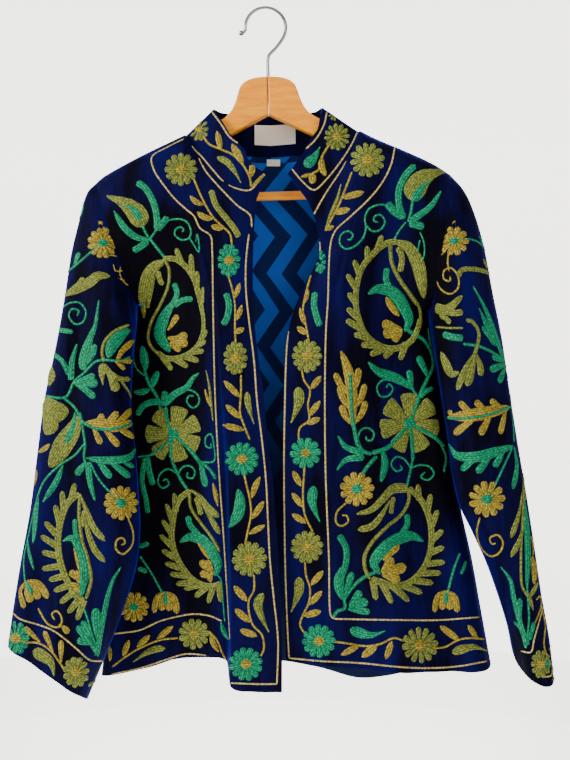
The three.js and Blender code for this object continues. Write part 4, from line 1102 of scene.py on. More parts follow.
# The right front: a border band of daisies and leaves down its edge and along the hem, and the
# field with a bud over a feathered wreath, a six-petalled rosette and a second wreath below.
def embroider_right_front(hoop, borders=True):
    if borders:
        stitch_all(hoop, (
            ("cord", 2.2, "even", trail(
                (184, 139), (168, 147), (152, 157), (154, 170), (163, 184), (175, 199), (187, 210),
                (194, 216),
             (200, 228), (210, 235), (212, 242), (213, 300), (215, 390), (219, 470), (224, 540),
             (230, 639))),
            ("cord", 2.2, "even", trail(
                (197, 155), (205, 170), (213, 180), (225, 193), (238, 206), (250, 215), (252, 227)
            )),
            ("cord", 2.2, "even", trail(
                (249, 234), (246, 262), (246, 290), (249, 320), (254, 360), (257, 400), (262, 440),
             (266, 480), (268, 520), (270, 560), (274, 600), (278, 640), (277, 684))),
            ("cord", 2.2, "even", trail((277, 684), (255, 684), (231, 683))),
            ("cord", 2.2, "even", trail(
                (103, 635), (120, 633), (140, 630), (160, 621), (180, 616), (195, 614), (210, 616),
                (222, 621)
            )),
            ("cord", 2.0, "even", trail(
                (112, 674), (140, 668), (168, 659), (185, 654), (203, 655), (214, 658)
            )),
            ("gold", 3.0, "even", trail(
                (193, 177), (203, 200), (213, 217), (222, 226), (230, 234), (232, 245)
            )),
            ("gold", 2.6, "even", trail((228, 275), (232, 288), (235, 305), (235, 330), (236, 345))),
            ("gold", 2.8, "even", trail((241, 375), (241, 395), (240, 412), (244, 425), (250, 440))),
            ("gold", 2.8, "even", trail(
                (243, 468), (246, 483), (250, 500), (251, 515), (248, 530), (245, 545)
            )),
            ("gold", 2.8, "even", trail(
                (254, 575), (254, 590), (249, 600), (249, 612), (253, 625), (262, 635), (264, 648),
                (261, 656)
            )),
            ("gold", 2.8, "even", trail((209, 631), (217, 640), (222, 652), (226, 660))),
            ("gold", 2.8, "even", trail((178, 638), (160, 640), (140, 648), (125, 657), (112, 667))),
            ("olive", 7.5, "even", trail((211, 190), (216, 205), (226, 218), (234, 228), (239, 237))),
            ("emerald", 8.0, "even", trail((226, 293), (229, 305), (227, 318), (223, 325))),
            ("olive", 8.0, "drop", trail((254, 424), (251, 415), (248, 403), (247, 392))),
            ("emerald", 14, "leaf", trail((238, 489), (240, 500), (238, 514), (229, 527))),
            ("olive", 11, "drop", trail((269, 632), (262, 618), (258, 604), (263, 593))),
            ("olive", 9.0, "drop", trail((133, 662), (146, 653), (156, 649), (165, 648))),
        ))
        hoop.leaves("gold", table(
            leaf_columns, (204, 205, 190, 196, 7, 0.1), (213, 219, 197, 212, 8, 0.1),
            (223, 229, 211, 226, 8, 0),
            (235, 298, 240, 283, 6.5, 0), (237, 320, 242, 305, 6.5, 0), (235, 333, 244, 328, 7.5, 0),
            (240, 397, 224, 381, 8, 0), (240, 418, 226, 405, 8, 0), (244, 430, 223, 425, 8, 0),
            (252, 498, 260, 477, 7.5, 0.05), (252, 519, 264, 501, 8, 0), (249, 534, 265, 525, 7, 0),
            (247, 601, 234, 586, 9, 0), (250, 622, 235, 609, 9, 0), (257, 636, 240, 630, 9, 0),
            (219, 652, 211, 632, 7, 0.1), (157, 639, 173, 626, 8, 0), (137, 647, 150, 635, 8, 0),
            (123, 656, 129, 640, 8, 0), (110, 661, 110, 646, 7, 0),
        ))
        hoop.daisy(181, 169.5, 19.5, "olive", "gold", 12)
        hoop.daisy(229, 260.5, 20, "emerald", "gold", 11, 8, 0.68)
        hoop.daisy(235.5, 358, 20, "olive", "gold", 11, 0, 0.72)
        hoop.daisy(242, 459, 20, "emerald", "gold", 12, 10)
        hoop.daisy(249.5, 559, 21, "olive", "gold", 12, 5)
        hoop.daisy(246, 664, 20, "emerald", "gold", 12, 12)
        hoop.daisy(194, 634, 18.5, "olive", "gold", 11, 3)

    # bud, its hub, leaves and curl
    stitch_all(hoop, (
        ("olive", 24, "drop", trail((107, 196), (124, 203), (137, 214), (143, 227))),
        ("emerald", 8.5, "even", trail((137, 182), (146, 189), (154, 204), (157, 219), (157, 230))),
        ("emerald", 8.5, "even", trail((168, 217), (163, 223), (157, 230))),
        ("emerald", 2.8, "even", trail(
            (158, 229), (165, 222), (178, 219), (187, 222), (191, 231), (189, 238),
         (182, 240), (175, 235), (176, 229), (181, 227), (184, 230), (182, 232))),
        ("emerald", 2.4, "even", trail(
            (189, 237), (194, 245), (199, 252), (199, 243), (197, 234), (196, 242)
        )),
        ("emerald", 9.0, "leaf", trail((114, 211), (124, 227), (136, 237), (150, 240))),
        ("emerald", 8.5, "even", trail((133, 251), (140, 247), (148, 241))),
        ("emerald", 4.0, "even", trail((150, 239), (157, 248), (165, 258))),
        ("emerald", 3.2, "even", trail((157, 229), (153, 235), (149, 240))),
    ))
    hoop.run("emerald", along(trail((123, 204), (134, 210), (141, 220))), 11, "drop", 0.7)
    hoop.run("emerald", along(trail((141, 218), (144, 229), (150, 240))), 3.2, "even", 0.5)

    # upper wreath with a bird-headed leaf and a tulip in it
    stitch_all(hoop, (
        ("olive", 13, "leaf", trail((165, 260), (153, 266), (146, 278), (143, 300), (144, 318))),
        ("olive", 6.0, "even", trail((163, 262), (155, 271), (151, 289), (147, 308))),
        ("olive", 7.0, "even", trail((158, 271), (160, 280), (163, 285))),
        ("olive", 4.2, "even", trail(
            (165, 261), (169, 269), (168, 286), (160, 305), (151, 322), (148, 338), (152, 348), (160, 355)
        )),
        ("olive", 7.0, "even", trail(
            (163, 259), (175, 259), (186, 267), (194, 279), (199, 296), (203, 315), (203, 332),
         (199, 344), (190, 353), (178, 358), (166, 358), (157, 352))),
    ))
    hoop.leaves("olive", table(
        leaf_columns, (182, 264, 176, 248, 8, 0), (192, 274, 191, 254, 8, 0), (197, 288, 197, 271, 8, 0),
        (202, 303, 203, 287, 8, 0), (203, 337, 207, 330, 7, 0), (198, 345, 206, 341, 8, 0),
        (191, 352, 204, 351, 8, 0),
        (184, 356, 199, 361, 9, 0), (174, 358, 188, 367, 9, 0), (162, 356, 172, 370, 9, 0),
    ), "finger")
    stitch_all(hoop, (
        ("emerald", 7.5, "even", trail((174, 283), (177, 294), (172, 305), (166, 318), (162, 330))),
        ("emerald", 7.0, "even", trail((193, 299), (183, 300), (174, 306))),
        ("emerald", 17, "leaf", trail((173, 302), (164, 318), (160, 335), (170, 352))),
    ))
    hoop.leaves("gold", table(
        leaf_columns, (168, 330, 178, 315, 8, 0), (168, 338, 187, 334, 11, -0.15),
        (170, 343, 188, 343, 11, 0),
        (170, 345, 181, 350, 9, 0),
    ), "petal")

    # spray with a curl over the rosette
    stitch_all(hoop, (
        ("emerald", 4.5, "even", trail(
            (144, 369), (149, 384), (157, 397), (162, 415), (167, 427), (174, 435)
        )),
        ("emerald", 8.0, "even", trail((137, 415), (143, 406), (152, 402), (161, 402))),
        ("emerald", 9.0, "even", trail((165, 391), (164, 400), (163, 406))),
        ("emerald", 10, "taper", trail((164, 404), (175, 394), (187, 387), (193, 378), (199, 373))),
        ("emerald", 2.8, "even", trail(
            (181, 391), (190, 390), (198, 395), (199, 403), (193, 408), (187, 402), (189, 396), (194, 396)
        )),
        ("emerald", 2.4, "even", trail((145, 376), (137, 369), (133, 357), (132, 344))),
        ("olive", 4.0, "leaf", trail((206, 370), (209, 385), (211, 402), (213, 421))),
        ("gold", 5.0, "leaf", trail((205, 389), (207, 398), (211, 407))),
    ))
    hoop.leaves("emerald", table(
        leaf_columns, (146, 370, 142, 346, 12, 0), (151, 388, 158, 371, 10, 0),
        (150, 389, 134, 392, 8, 0.1),
    ))
    hoop.rosette(173.5, 434, 33, 7, 77)
    for vein in (trail((166, 407), (168, 424), (174, 434)), trail((151, 455), (161, 448), (174, 436)),
                 trail((171, 458), (171, 446), (174, 436)), trail((201, 464), (191, 451), (176, 436))):
        hoop.run("emerald", along(vein), 4.6, "even", 0.7)
    stitch_all(hoop, (
        ("emerald", 4.2, "even", trail((171, 458), (175, 468), (181, 480), (187, 489))),
        ("emerald", 2.8, "even", trail(
            (177, 473), (168, 469), (160, 474), (158, 483), (163, 488), (169, 484), (166, 479), (163, 481)
        )),
        ("emerald", 2.8, "even", trail(
            (178, 474), (183, 467), (190, 466), (195, 471), (193, 478), (187, 477), (188, 472)
        )),
        ("emerald", 10, "petal", trail((200, 462), (203, 474), (206, 487))),
        ("emerald", 4.5, "even", trail((202, 463), (210, 470), (216, 479))),
        ("emerald", 2.8, "even", trail(
            (200, 462), (214, 461), (214, 445), (211, 434), (206, 437), (206, 446), (211, 448), (211, 443)
        )),
        ("emerald", 3.0, "even", trail((152, 455), (138, 457))),
        ("emerald", 8.0, "even", trail((147, 457), (149, 470), (153, 485))),
        ("emerald", 6.5, "even", trail((145, 458), (142, 480), (146, 500), (148, 513))),
        ("gold", 6.0, "leaf", trail((213, 483), (215, 492), (218, 506))),
    ))

    # lower wreath, its bird and tulip
    hoop.run("olive", along(trail(
        (191, 490), (179, 500), (173, 520), (172, 541), (178, 560), (190, 577), (203, 585), (215, 586),
        (222, 583)
    )), 8)
    hoop.leaves("olive", table(
        leaf_columns, (176, 512, 174, 493, 8, 0), (173, 522, 166, 504, 8.5, 0),
        (172, 534, 162, 520, 8.5, 0),
        (173, 547, 160, 535, 8.5, 0), (175, 558, 162, 550, 8.5, 0), (180, 568, 165, 563, 8.5, 0),
        (187, 576, 170, 574, 8.5, 0), (195, 582, 176, 584, 8.5, 0), (203, 584, 184, 589, 8.5, 0),
        (209, 585, 195, 597, 9, 0), (214, 585, 208, 603, 9, 0), (219, 584, 221, 602, 9, 0),
    ), "finger")
    stitch_all(hoop, (
        ("olive", 9.0, "petal", trail((191, 490), (200, 497), (209, 508), (219, 517))),
        ("olive", 7.5, "petal", trail((200, 499), (210, 517), (220, 534))),
        ("olive", 7.0, "even", trail((196, 497), (199, 506), (201, 515))),
        ("olive", 4.2, "even", trail((189, 492), (191, 508), (200, 522), (212, 538), (220, 552))),
        ("emerald", 7.5, "even", trail((188, 516), (190, 525), (197, 533), (203, 541))),
        ("emerald", 15, "leaf", trail(
            (180, 542), (190, 537), (202, 540), (212, 552), (218, 566), (215, 576)
        )),
        ("emerald", 2.2, "even", trail((216, 573), (221, 580), (223, 600), (225, 622))),
        ("emerald", 6.0, "leaf", trail((221, 622), (224, 632), (229, 640))),
        ("gold", 6.0, "leaf", trail((198, 543), (203, 550), (209, 559))),
    ))
    hoop.leaves("gold", table(
        leaf_columns, (213, 573, 200, 561, 11, 0), (213, 575, 207, 560, 10, 0), (213, 577, 200, 573, 10, 0),
        (212, 577, 208, 580, 10, 0),
    ), "petal")
    hoop.tulip(166, 592, -92, 30)
    hoop.run("emerald", along(trail((140, 556), (152, 574), (163, 594))), 3.2)
    hoop.daisy(134, 607, 18, "gold", "emerald", 11, 6)
    hoop.leaves("emerald", table(
        leaf_columns, (149, 543, 139, 547, 6, 0), (147, 572, 138, 568, 6, 0)
    ), "even")


# The left front: the same garden, mirrored, with a gold leaf and a sprig of its own.
def embroider_left_front(hoop, borders=True):
    if borders:
        stitch_all(hoop, (
            ("cord", 2.2, "even", trail(
                (395, 147), (391, 165), (382, 183), (368, 200), (350, 217), (336, 230), (331, 242),
             (329, 265), (328, 300), (326, 330), (325, 380), (325, 430), (326, 485), (329, 560), (330, 612),
             (333, 618),
             (345, 619), (400, 620), (440, 620), (479, 617))),
            ("cord", 2.2, "even", trail((352, 140), (349, 155), (340, 172), (326, 193), (313, 216))),
            ("cord", 2.2, "even", trail(
                (317, 232), (320, 246), (318, 258), (311, 272), (300, 292), (291, 318), (287, 345),
             (285, 400), (284, 470), (285, 560), (287, 620), (289, 658))),
            ("cord", 2.2, "even", trail(
                (289, 658), (320, 661), (360, 663), (400, 667), (430, 668), (460, 666), (487, 661)
            )),
            ("gold", 3.2, "even", trail((352, 172), (345, 190), (338, 207), (330, 222), (326, 231))),
            ("gold", 2.8, "even", trail(
                (311, 275), (306, 293), (303, 310), (306, 325), (309, 345), (307, 352)
            )),
            ("gold", 2.8, "even", trail(
                (302, 370), (304, 380), (310, 390), (308, 405), (309, 420), (300, 428), (299, 440),
                (304, 449)
            )),
            ("gold", 2.8, "even", trail((305, 460), (304, 475), (303, 495), (305, 515), (313, 532))),
            ("gold", 2.8, "even", trail(
                (305, 562), (306, 575), (310, 588), (309, 602), (303, 615), (300, 625), (306, 635)
            )),
            ("gold", 2.8, "even", trail(
                (328, 641), (345, 643), (365, 646), (380, 644), (394, 638), (404, 641)
            )),
            ("gold", 2.8, "even", trail((432, 648), (445, 647), (458, 640), (470, 638), (484, 639))),
            ("olive", 5.0, "leaf", trail((341, 184), (337, 200), (331, 214), (325, 231))),
            ("emerald", 8.5, "even", trail((315, 292), (314, 305), (317, 318), (320, 326))),
            ("olive", 13, "drop", trail((291, 423), (296, 411), (299, 400), (298, 387))),
            ("emerald", 12, "drop", trail((320, 522), (315, 511), (312, 500), (314, 486))),
            ("olive", 12, "drop", trail((291, 612), (296, 600), (299, 590), (299, 577))),
            ("emerald", 12, "drop", trail((385, 631), (372, 635), (360, 633), (350, 629))),
            ("olive", 11, "drop", trail((488, 651), (475, 647), (463, 649), (452, 653))),
        ))
        hoop.leaves("gold", table(
            leaf_columns, (342, 198, 364, 192, 9, 0), (334, 213, 350, 209, 9, 0),
            (326, 230, 334, 226, 6, 0),
            (305, 303, 308, 289, 6, 0), (305, 325, 300, 308, 7, 0), (307, 334, 297, 327, 8, 0),
            (311, 389, 321, 376, 8, 0), (309, 416, 320, 401, 8, 0), (307, 424, 320, 418, 8, 0),
            (301, 486, 293, 471, 8, 0), (303, 507, 292, 493, 8, 0), (306, 523, 292, 514, 8, 0),
            (311, 585, 323, 571, 8, 0), (309, 605, 322, 591, 8, 0), (304, 616, 321, 611, 9, 0),
            (360, 645, 341, 655, 8, 0), (377, 645, 362, 657, 10, 0), (392, 641, 386, 659, 8, 0),
            (459, 640, 440, 626, 9, 0), (478, 639, 468, 625, 8, 0),
        ))
        hoop.daisy(367.5, 160, 20.5, "olive", "gold", 12, 8)
        hoop.daisy(320, 262, 14, "emerald", "gold", 9, 0, 0.5)
        hoop.daisy(307, 356, 20, "olive", "gold", 12, 0, 0.9)
        hoop.daisy(305.5, 453, 18.5, "emerald", "gold", 10, 5)
        hoop.daisy(307, 547, 19.5, "olive", "gold", 12, 10)
        hoop.daisy(319, 641, 20, "emerald", "gold", 12, 3)
        hoop.daisy(420, 645, 21.5, "olive", "gold", 12, 6)

    # bud, its hub, leaves and two curls
    stitch_all(hoop, (
        ("olive", 27, "drop", trail((449, 171), (433, 173), (420, 181), (410, 200))),
        ("emerald", 8.5, "even", trail((415, 165), (405, 176), (399, 190), (399, 205), (404, 219))),
        ("emerald", 10, "even", trail((387, 203), (394, 211), (403, 217))),
        ("emerald", 2.8, "even", trail(
            (387, 205), (378, 205), (369, 209), (365, 218), (366, 228), (363, 238), (355, 246),
         (346, 249), (340, 244), (341, 235), (348, 231), (353, 235), (350, 240), (347, 239))),
        ("emerald", 2.8, "even", trail(
            (366, 225), (372, 231), (380, 230), (385, 222), (381, 215), (375, 216), (374, 221), (378, 222)
        )),
        ("emerald", 2.8, "even", trail((406, 222), (399, 231), (394, 240))),
        ("emerald", 9.0, "taper", trail((409, 222), (421, 214), (431, 206), (441, 191))),
        ("emerald", 9.5, "even", trail((409, 223), (417, 225), (424, 227))),
        ("emerald", 2.2, "even", trail(
            (420, 232), (424, 243), (424, 256), (420, 262), (418, 252), (420, 240)
        )),
    ))
    hoop.run("emerald", along(trail((430, 181), (422, 187), (413, 201))), 12, "drop", 0.7)
    hoop.run("emerald", along(trail((413, 199), (411, 212), (408, 222))), 3.4, "even", 0.5)

    # upper wreath
    hoop.run("olive", along(trail(
        (398, 241), (385, 244), (372, 255), (362, 268), (357, 285), (356, 305), (360, 322), (368, 337),
        (383, 347), (398, 348), (411, 341), (417, 331), (421, 318))), 8)
    hoop.leaves("olive", table(
        leaf_columns, (377, 251, 382, 235, 9, 0), (368, 262, 367, 246, 9, 0), (360, 276, 354, 260, 9, 0),
        (357, 290, 347, 274, 9, 0), (357, 304, 348, 293, 9, 0), (358, 318, 347, 308, 9, 0),
        (362, 329, 346, 320, 10, 0),
        (368, 338, 354, 334, 10, 0), (376, 345, 361, 345, 10, 0), (385, 348, 370, 355, 10, 0),
        (392, 349, 384, 358, 10, 0),
        (406, 343, 400, 360, 10, 0),
    ), "finger")
    stitch_all(hoop, (
        ("olive", 16, "leaf", trail((394, 241), (408, 247), (417, 262), (421, 278), (424, 298))),
        ("olive", 7.5, "even", trail((398, 247), (402, 258), (400, 272))),
        ("olive", 5.0, "even", trail(
            (390, 243), (392, 263), (400, 280), (412, 297), (420, 310), (420, 325), (414, 338)
        )),
        ("emerald", 8.0, "even", trail((387, 268), (386, 279), (391, 290), (398, 299))),
        ("emerald", 16, "leaf", trail(
            (368, 294), (378, 289), (392, 292), (403, 306), (409, 320), (405, 332)
        )),
        ("gold", 9.0, "leaf", trail((386, 297), (391, 306), (399, 316))),
        ("emerald", 5.0, "even", trail(
            (405, 328), (414, 334), (424, 340), (431, 352), (433, 366), (428, 378), (423, 388), (419, 398)
        )),
        ("emerald", 5.0, "leaf", trail((428, 328), (430, 342), (432, 358))),
    ))
    hoop.leaves("gold", table(
        leaf_columns, (402, 330, 382, 323, 12, 0), (402, 331, 383, 334, 13, 0), (402, 332, 392, 340, 12, 0),
    ), "petal")

    # spray with a curl over the rosette
    stitch_all(hoop, (
        ("emerald", 12, "leaf", trail((368, 362), (379, 372), (396, 378), (414, 389))),
        ("emerald", 3.4, "even", trail((410, 386), (419, 398))),
        ("emerald", 2.8, "even", trail(
            (394, 381), (383, 380), (377, 387), (380, 396), (388, 396), (393, 389), (389, 384), (386, 388)
        )),
        ("emerald", 6.0, "even", trail((433, 388), (425, 392), (420, 398))),
    ))
    hoop.leaves("emerald", table(
        leaf_columns, (429, 378, 418, 356, 10, 0), (412, 389, 409, 370, 9, 0)
    ), "petal")
    hoop.rosette(409.5, 423, 35.5, 7, 90)
    for vein in (trail((419, 397), (414, 411), (410, 422)), trail(
        (372, 453), (387, 448), (399, 436), (409, 424)
    ),
                 trail((413, 460), (412, 442), (410, 424)), trail((444, 446), (432, 435), (410, 424))):
        hoop.run("emerald", along(vein), 5, "even", 0.7)

    # gold oak leaf on an emerald vein, with leaves, a curl and a hanging daisy
    hoop.run("gold", along(trail((341, 351), (348, 370), (352, 392), (353, 426))), 14, "leaf")
    hoop.leaves("gold", table(
        leaf_columns, (351, 396, 335, 373, 9, 0.08), (352, 411, 339, 386, 9, 0.08),
        (353, 425, 341, 405, 9, 0.08),
        (352, 395, 359, 368, 9, -0.05), (353, 410, 365, 384, 9, -0.08), (353, 425, 366, 401, 9, -0.08),
    ), "petal")
    hoop.run("emerald", along(trail(
        (350, 374), (351, 395), (352, 414), (354, 428), (358, 447)
    )), 4.6, "even", 0.9)
    stitch_all(hoop, (
        ("emerald", 4.6, "even", trail((354, 428), (358, 442), (363, 451), (372, 454))),
        ("emerald", 2.8, "even", trail(
            (357, 439), (361, 430), (368, 428), (374, 433), (372, 440), (367, 440), (366, 436)
        )),
        ("emerald", 9.0, "wedge", trail((338, 436), (346, 447), (364, 453))),
        ("emerald", 9.0, "wedge", trail((337, 470), (346, 460), (364, 457))),
        ("emerald", 11, "leaf", trail((382, 449), (385, 464), (381, 482))),
        ("emerald", 4.6, "even", trail((377, 456), (365, 470), (358, 487))),
        ("gold", 2.8, "even", trail(
            (346, 503), (337, 512), (336, 522), (341, 526), (348, 522), (347, 516), (342, 515)
        )),
        ("emerald", 3.8, "even", trail((413, 458), (411, 468), (407, 486))),
        ("emerald", 2.8, "even", trail(
            (411, 468), (404, 459), (396, 457), (391, 464), (396, 471), (402, 469), (400, 465)
        )),
        ("emerald", 2.8, "even", trail(
            (411, 468), (420, 465), (430, 467), (434, 474), (428, 480), (421, 477), (425, 472)
        )),
        ("emerald", 4.0, "even", trail((441, 444), (446, 457), (444, 472))),
    ))
    hoop.daisy(357, 489, 20.5, "gold", "emerald", 11, 5)

    # lower wreath, its bird and tulip
    hoop.run("olive", along(trail(
        (408, 488), (418, 496), (427, 511), (431, 527), (431, 545), (427, 561), (419, 574), (408, 583),
        (394, 586), (381, 582), (371, 579))), 8.5)
    hoop.leaves("olive", table(
        leaf_columns, (419, 500, 418, 484, 9, 0), (427, 513, 431, 494, 9, 0), (431, 527, 438, 510, 9, 0),
        (431, 541, 443, 530, 9, 0), (430, 553, 444, 547, 9, 0), (426, 564, 445, 562, 9, 0),
        (421, 573, 441, 573, 9, 0),
        (413, 580, 433, 583, 9.5, 0), (403, 585, 422, 593, 10, 0), (393, 586, 409, 601, 10, 0),
        (382, 583, 392, 603, 9.5, 0),
        (373, 580, 376, 600, 9.5, 0),
    ), "finger")
    stitch_all(hoop, (
        ("olive", 12, "taper", trail((407, 488), (393, 489), (382, 500), (371, 510), (357, 514))),
        ("olive", 9.0, "petal", trail((390, 500), (383, 513), (372, 526), (358, 530))),
        ("olive", 7.5, "even", trail((394, 497), (392, 505), (391, 514))),
        ("olive", 4.8, "even", trail(
            (408, 489), (409, 500), (402, 514), (388, 526), (374, 540), (365, 555), (365, 568), (370, 579)
        )),
        ("emerald", 8.0, "even", trail((407, 514), (407, 525), (399, 537))),
        ("emerald", 16, "leaf", trail(
            (423, 541), (412, 536), (398, 539), (383, 550), (374, 563), (380, 574)
        )),
        ("emerald", 4.4, "even", trail((378, 571), (363, 578), (352, 588), (344, 600))),
    ))
    hoop.leaves("gold", table(
        leaf_columns, (383, 560, 399, 545, 10, 0), (382, 573, 393, 558, 12, 0), (382, 573, 406, 567, 13, 0),
        (382, 574, 400, 580, 12, 0),
    ), "petal")

    # sprig with a trefoil in the lower corner, and a hanging tulip
    stitch_all(hoop, (
        ("emerald", 8.5, "even", trail((339, 535), (346, 548), (346, 563), (341, 578))),
        ("emerald", 13, "leaf", trail((343, 566), (339, 582), (343, 600))),
        ("emerald", 10, "drop", trail((344, 598), (348, 586), (352, 572))),
        ("emerald", 4.4, "even", trail((343, 595), (345, 608), (338, 611), (333, 617))),
        ("emerald", 3.6, "even", trail((460, 553), (454, 569), (448, 591))),
        ("emerald", 5.0, "even", trail((466, 561), (464, 568), (461, 574))),
    ))
    hoop.leaves("emerald", table(
        leaf_columns, (349, 606, 361, 591, 10, 0), (349, 607, 368, 601, 11, 0), (348, 609, 370, 612, 9, 0),
    ), "petal")
    hoop.tulip(446, 591, -90, 30)


# The sleeves: a daisy and bud at the head, a gold oak leaf at the elbow and a wreath above the
# cuff's own cord and daisies.
def embroider_right_sleeve(hoop):
    stitch_all(hoop, (
        ("cord", 2.2, "even", trail(
            (12, 612), (20, 619), (36, 624), (52, 630), (65, 639), (78, 650), (90, 660), (103, 661)
        )),
        ("emerald", 3.6, "even", trail((64, 275), (76, 265), (90, 253), (102, 243))),
        ("emerald", 9.0, "drop", trail((73, 268), (76, 260), (79, 252))),
        ("emerald", 5.0, "leaf", trail((84, 202), (82, 212), (79, 220))),
        ("gold", 1.9, "even", trail(
            (136, 287), (126, 284), (120, 275), (121, 266), (126, 264), (131, 268), (132, 277), (128, 279),
            (126, 273)
        )),
        ("gold", 2.2, "even", trail((119, 245), (124, 252), (125, 258))),
        ("olive", 14, "leaf", trail((62, 296), (78, 288), (90, 282), (98, 276), (110, 276))),
        ("olive", 8.0, "even", trail((84, 278), (80, 283), (77, 288))),
        ("emerald", 2.8, "even", trail(
            (62, 308), (70, 303), (80, 303), (86, 312), (83, 322), (75, 324), (69, 316), (72, 309),
            (79, 311), (77, 316)
        )),
        ("emerald", 6.0, "even", trail((58, 330), (67, 331), (73, 332))),
        ("emerald", 7.0, "taper", trail((84, 370), (86, 350), (94, 330), (99, 300))),
        ("emerald", 14, "drop", trail((98, 318), (90, 338), (85, 355), (82, 370))),
        ("emerald", 7.5, "petal", trail((88, 364), (93, 354), (95, 344))),
        ("emerald", 3.6, "even", trail(
            (130, 357), (120, 361), (104, 360), (95, 362), (85, 372), (74, 382), (68, 395), (62, 398),
            (45, 396)
        )),
        ("emerald", 8.0, "taper", trail((71, 380), (72, 362), (77, 344))),
        ("emerald", 6.0, "even", trail((52, 353), (62, 361), (69, 375))),
        ("olive", 4.2, "even", trail((129, 325), (115, 331), (105, 341), (102, 352), (104, 362))),
        ("olive", 10, "drop", trail((103, 385), (102, 375), (103, 363))),
        ("olive", 12, "wedge", trail((104, 364), (111, 376), (117, 391))),
        ("olive", 6.0, "even", trail((110, 373), (121, 379), (130, 379))),
        ("olive", 4.0, "even", trail((121, 380), (130, 395), (134, 420))),
        ("emerald", 16, "leaf", trail((108, 358), (112, 346), (121, 335), (130, 330))),
        ("olive", 26, "petal", trail((44, 398), (47, 382), (54, 370))),
        ("olive", 26, "petal", trail((45, 400), (55, 410), (63, 420))),
        ("olive", 24, "petal", trail((43, 402), (47, 420), (52, 434))),
        ("emerald", 3.6, "even", trail((63, 397), (75, 408), (82, 421), (87, 424))),
        ("emerald", 3.6, "even", trail(
            (80, 412), (83, 430), (85, 445), (84, 456), (87, 470), (90, 482), (95, 500)
        )),
        ("olive", 24, "leaf", trail((78, 416), (73, 430), (64, 444), (50, 467))),
        ("emerald", 3.2, "even", trail(
            (84, 444), (75, 455), (60, 465), (45, 480), (38, 496), (30, 530), (24, 560), (26, 590)
        )),
        ("emerald", 7.5, "leaf", trail((63, 465), (56, 482), (43, 502))),
        ("emerald", 9.0, "leaf", trail((38, 494), (36, 512), (33, 543))),
        ("emerald", 5.0, "leaf", trail((28, 540), (29, 553), (34, 570))),
        ("emerald", 2.8, "even", trail((90, 462), (98, 478), (108, 490), (121, 502))),
        ("emerald", 8.0, "taper", trail((88, 462), (90, 482), (95, 501))),
        ("gold", 2.8, "even", trail(
            (128, 518), (133, 532), (132, 545), (123, 554), (116, 549), (117, 540), (123, 538), (125, 543),
            (121, 545)
        )),
        ("emerald", 8.0, "taper", trail((97, 655), (101, 630), (107, 600), (113, 580), (121, 567))),
        ("emerald", 11, "petal", trail((98, 640), (96, 624), (96, 608))),
        ("emerald", 2.8, "even", trail((80, 598), (86, 614), (92, 634), (98, 654))),
        ("emerald", 3.2, "even", trail((82, 622), (88, 640), (98, 656))),
        ("gold", 2.8, "even", trail(
            (38, 608), (48, 624), (59, 627), (62, 619), (57, 611), (52, 614), (55, 620)
        )),
        ("gold", 8.0, "drop", trail((59, 624), (64, 628), (69, 633))),
        ("gold", 2.8, "even", trail((13, 636), (24, 642), (38, 643), (50, 650), (58, 660), (66, 672))),
        ("olive", 15, "drop", trail((54, 676), (51, 663), (43, 656), (33, 651))),
        ("olive", 5.0, "even", trail((88, 686), (95, 681), (100, 678))),
        ("gold", 7.0, "leaf", trail((38, 452), (44, 449), (50, 444))),
        ("gold", 6.0, "leaf", trail((37, 470), (36, 478), (34, 486))),
    ))
    hoop.leaves("emerald", table(
        leaf_columns, (73, 382, 95, 375, 9, -0.05), (74, 383, 98, 383, 11, 0), (75, 384, 95, 398, 9, 0.05),
        (96, 650, 77, 626, 9, 0), (94, 640, 82, 621, 8, 0), (90, 644, 77, 640, 9, 0),
    ), "petal")
    hoop.run("emerald", along(trail((76, 412), (73, 428), (66, 443))), 9, "petal", 0.9)
    hoop.leaves("gold", table(
        leaf_columns, (116, 363, 134, 341, 9, 0.1), (116, 362, 125, 369, 7, 0), (118, 361, 132, 361, 7, 0),
    ), "petal")
    # gold oak leaf, then the emerald one under it
    hoop.run("gold", along(trail((85, 423), (100, 424), (115, 426), (135, 422))), 15, "leaf")
    hoop.leaves("gold", table(
        leaf_columns, (96, 426, 103, 414, 8, 0), (105, 426, 118, 412, 9, 0), (115, 425, 133, 409, 10, 0),
        (93, 427, 101, 444, 8, 0), (104, 429, 119, 446, 9, 0), (116, 427, 134, 437, 9, 0),
    ), "petal")
    hoop.run("emerald", along(trail((84, 423), (95, 428), (112, 429), (134, 423))), 3.8, "even", 0.8)
    hoop.run("emerald", along(trail((86, 458), (100, 460), (118, 460), (131, 456), (137, 446))), 10, "leaf")
    hoop.leaves("emerald", table(
        leaf_columns, (96, 458, 111, 478, 9, 0), (108, 460, 130, 477, 9, 0), (86, 462, 76, 475, 9, 0),
        (120, 460, 134, 467, 6, 0),
    ), "petal")
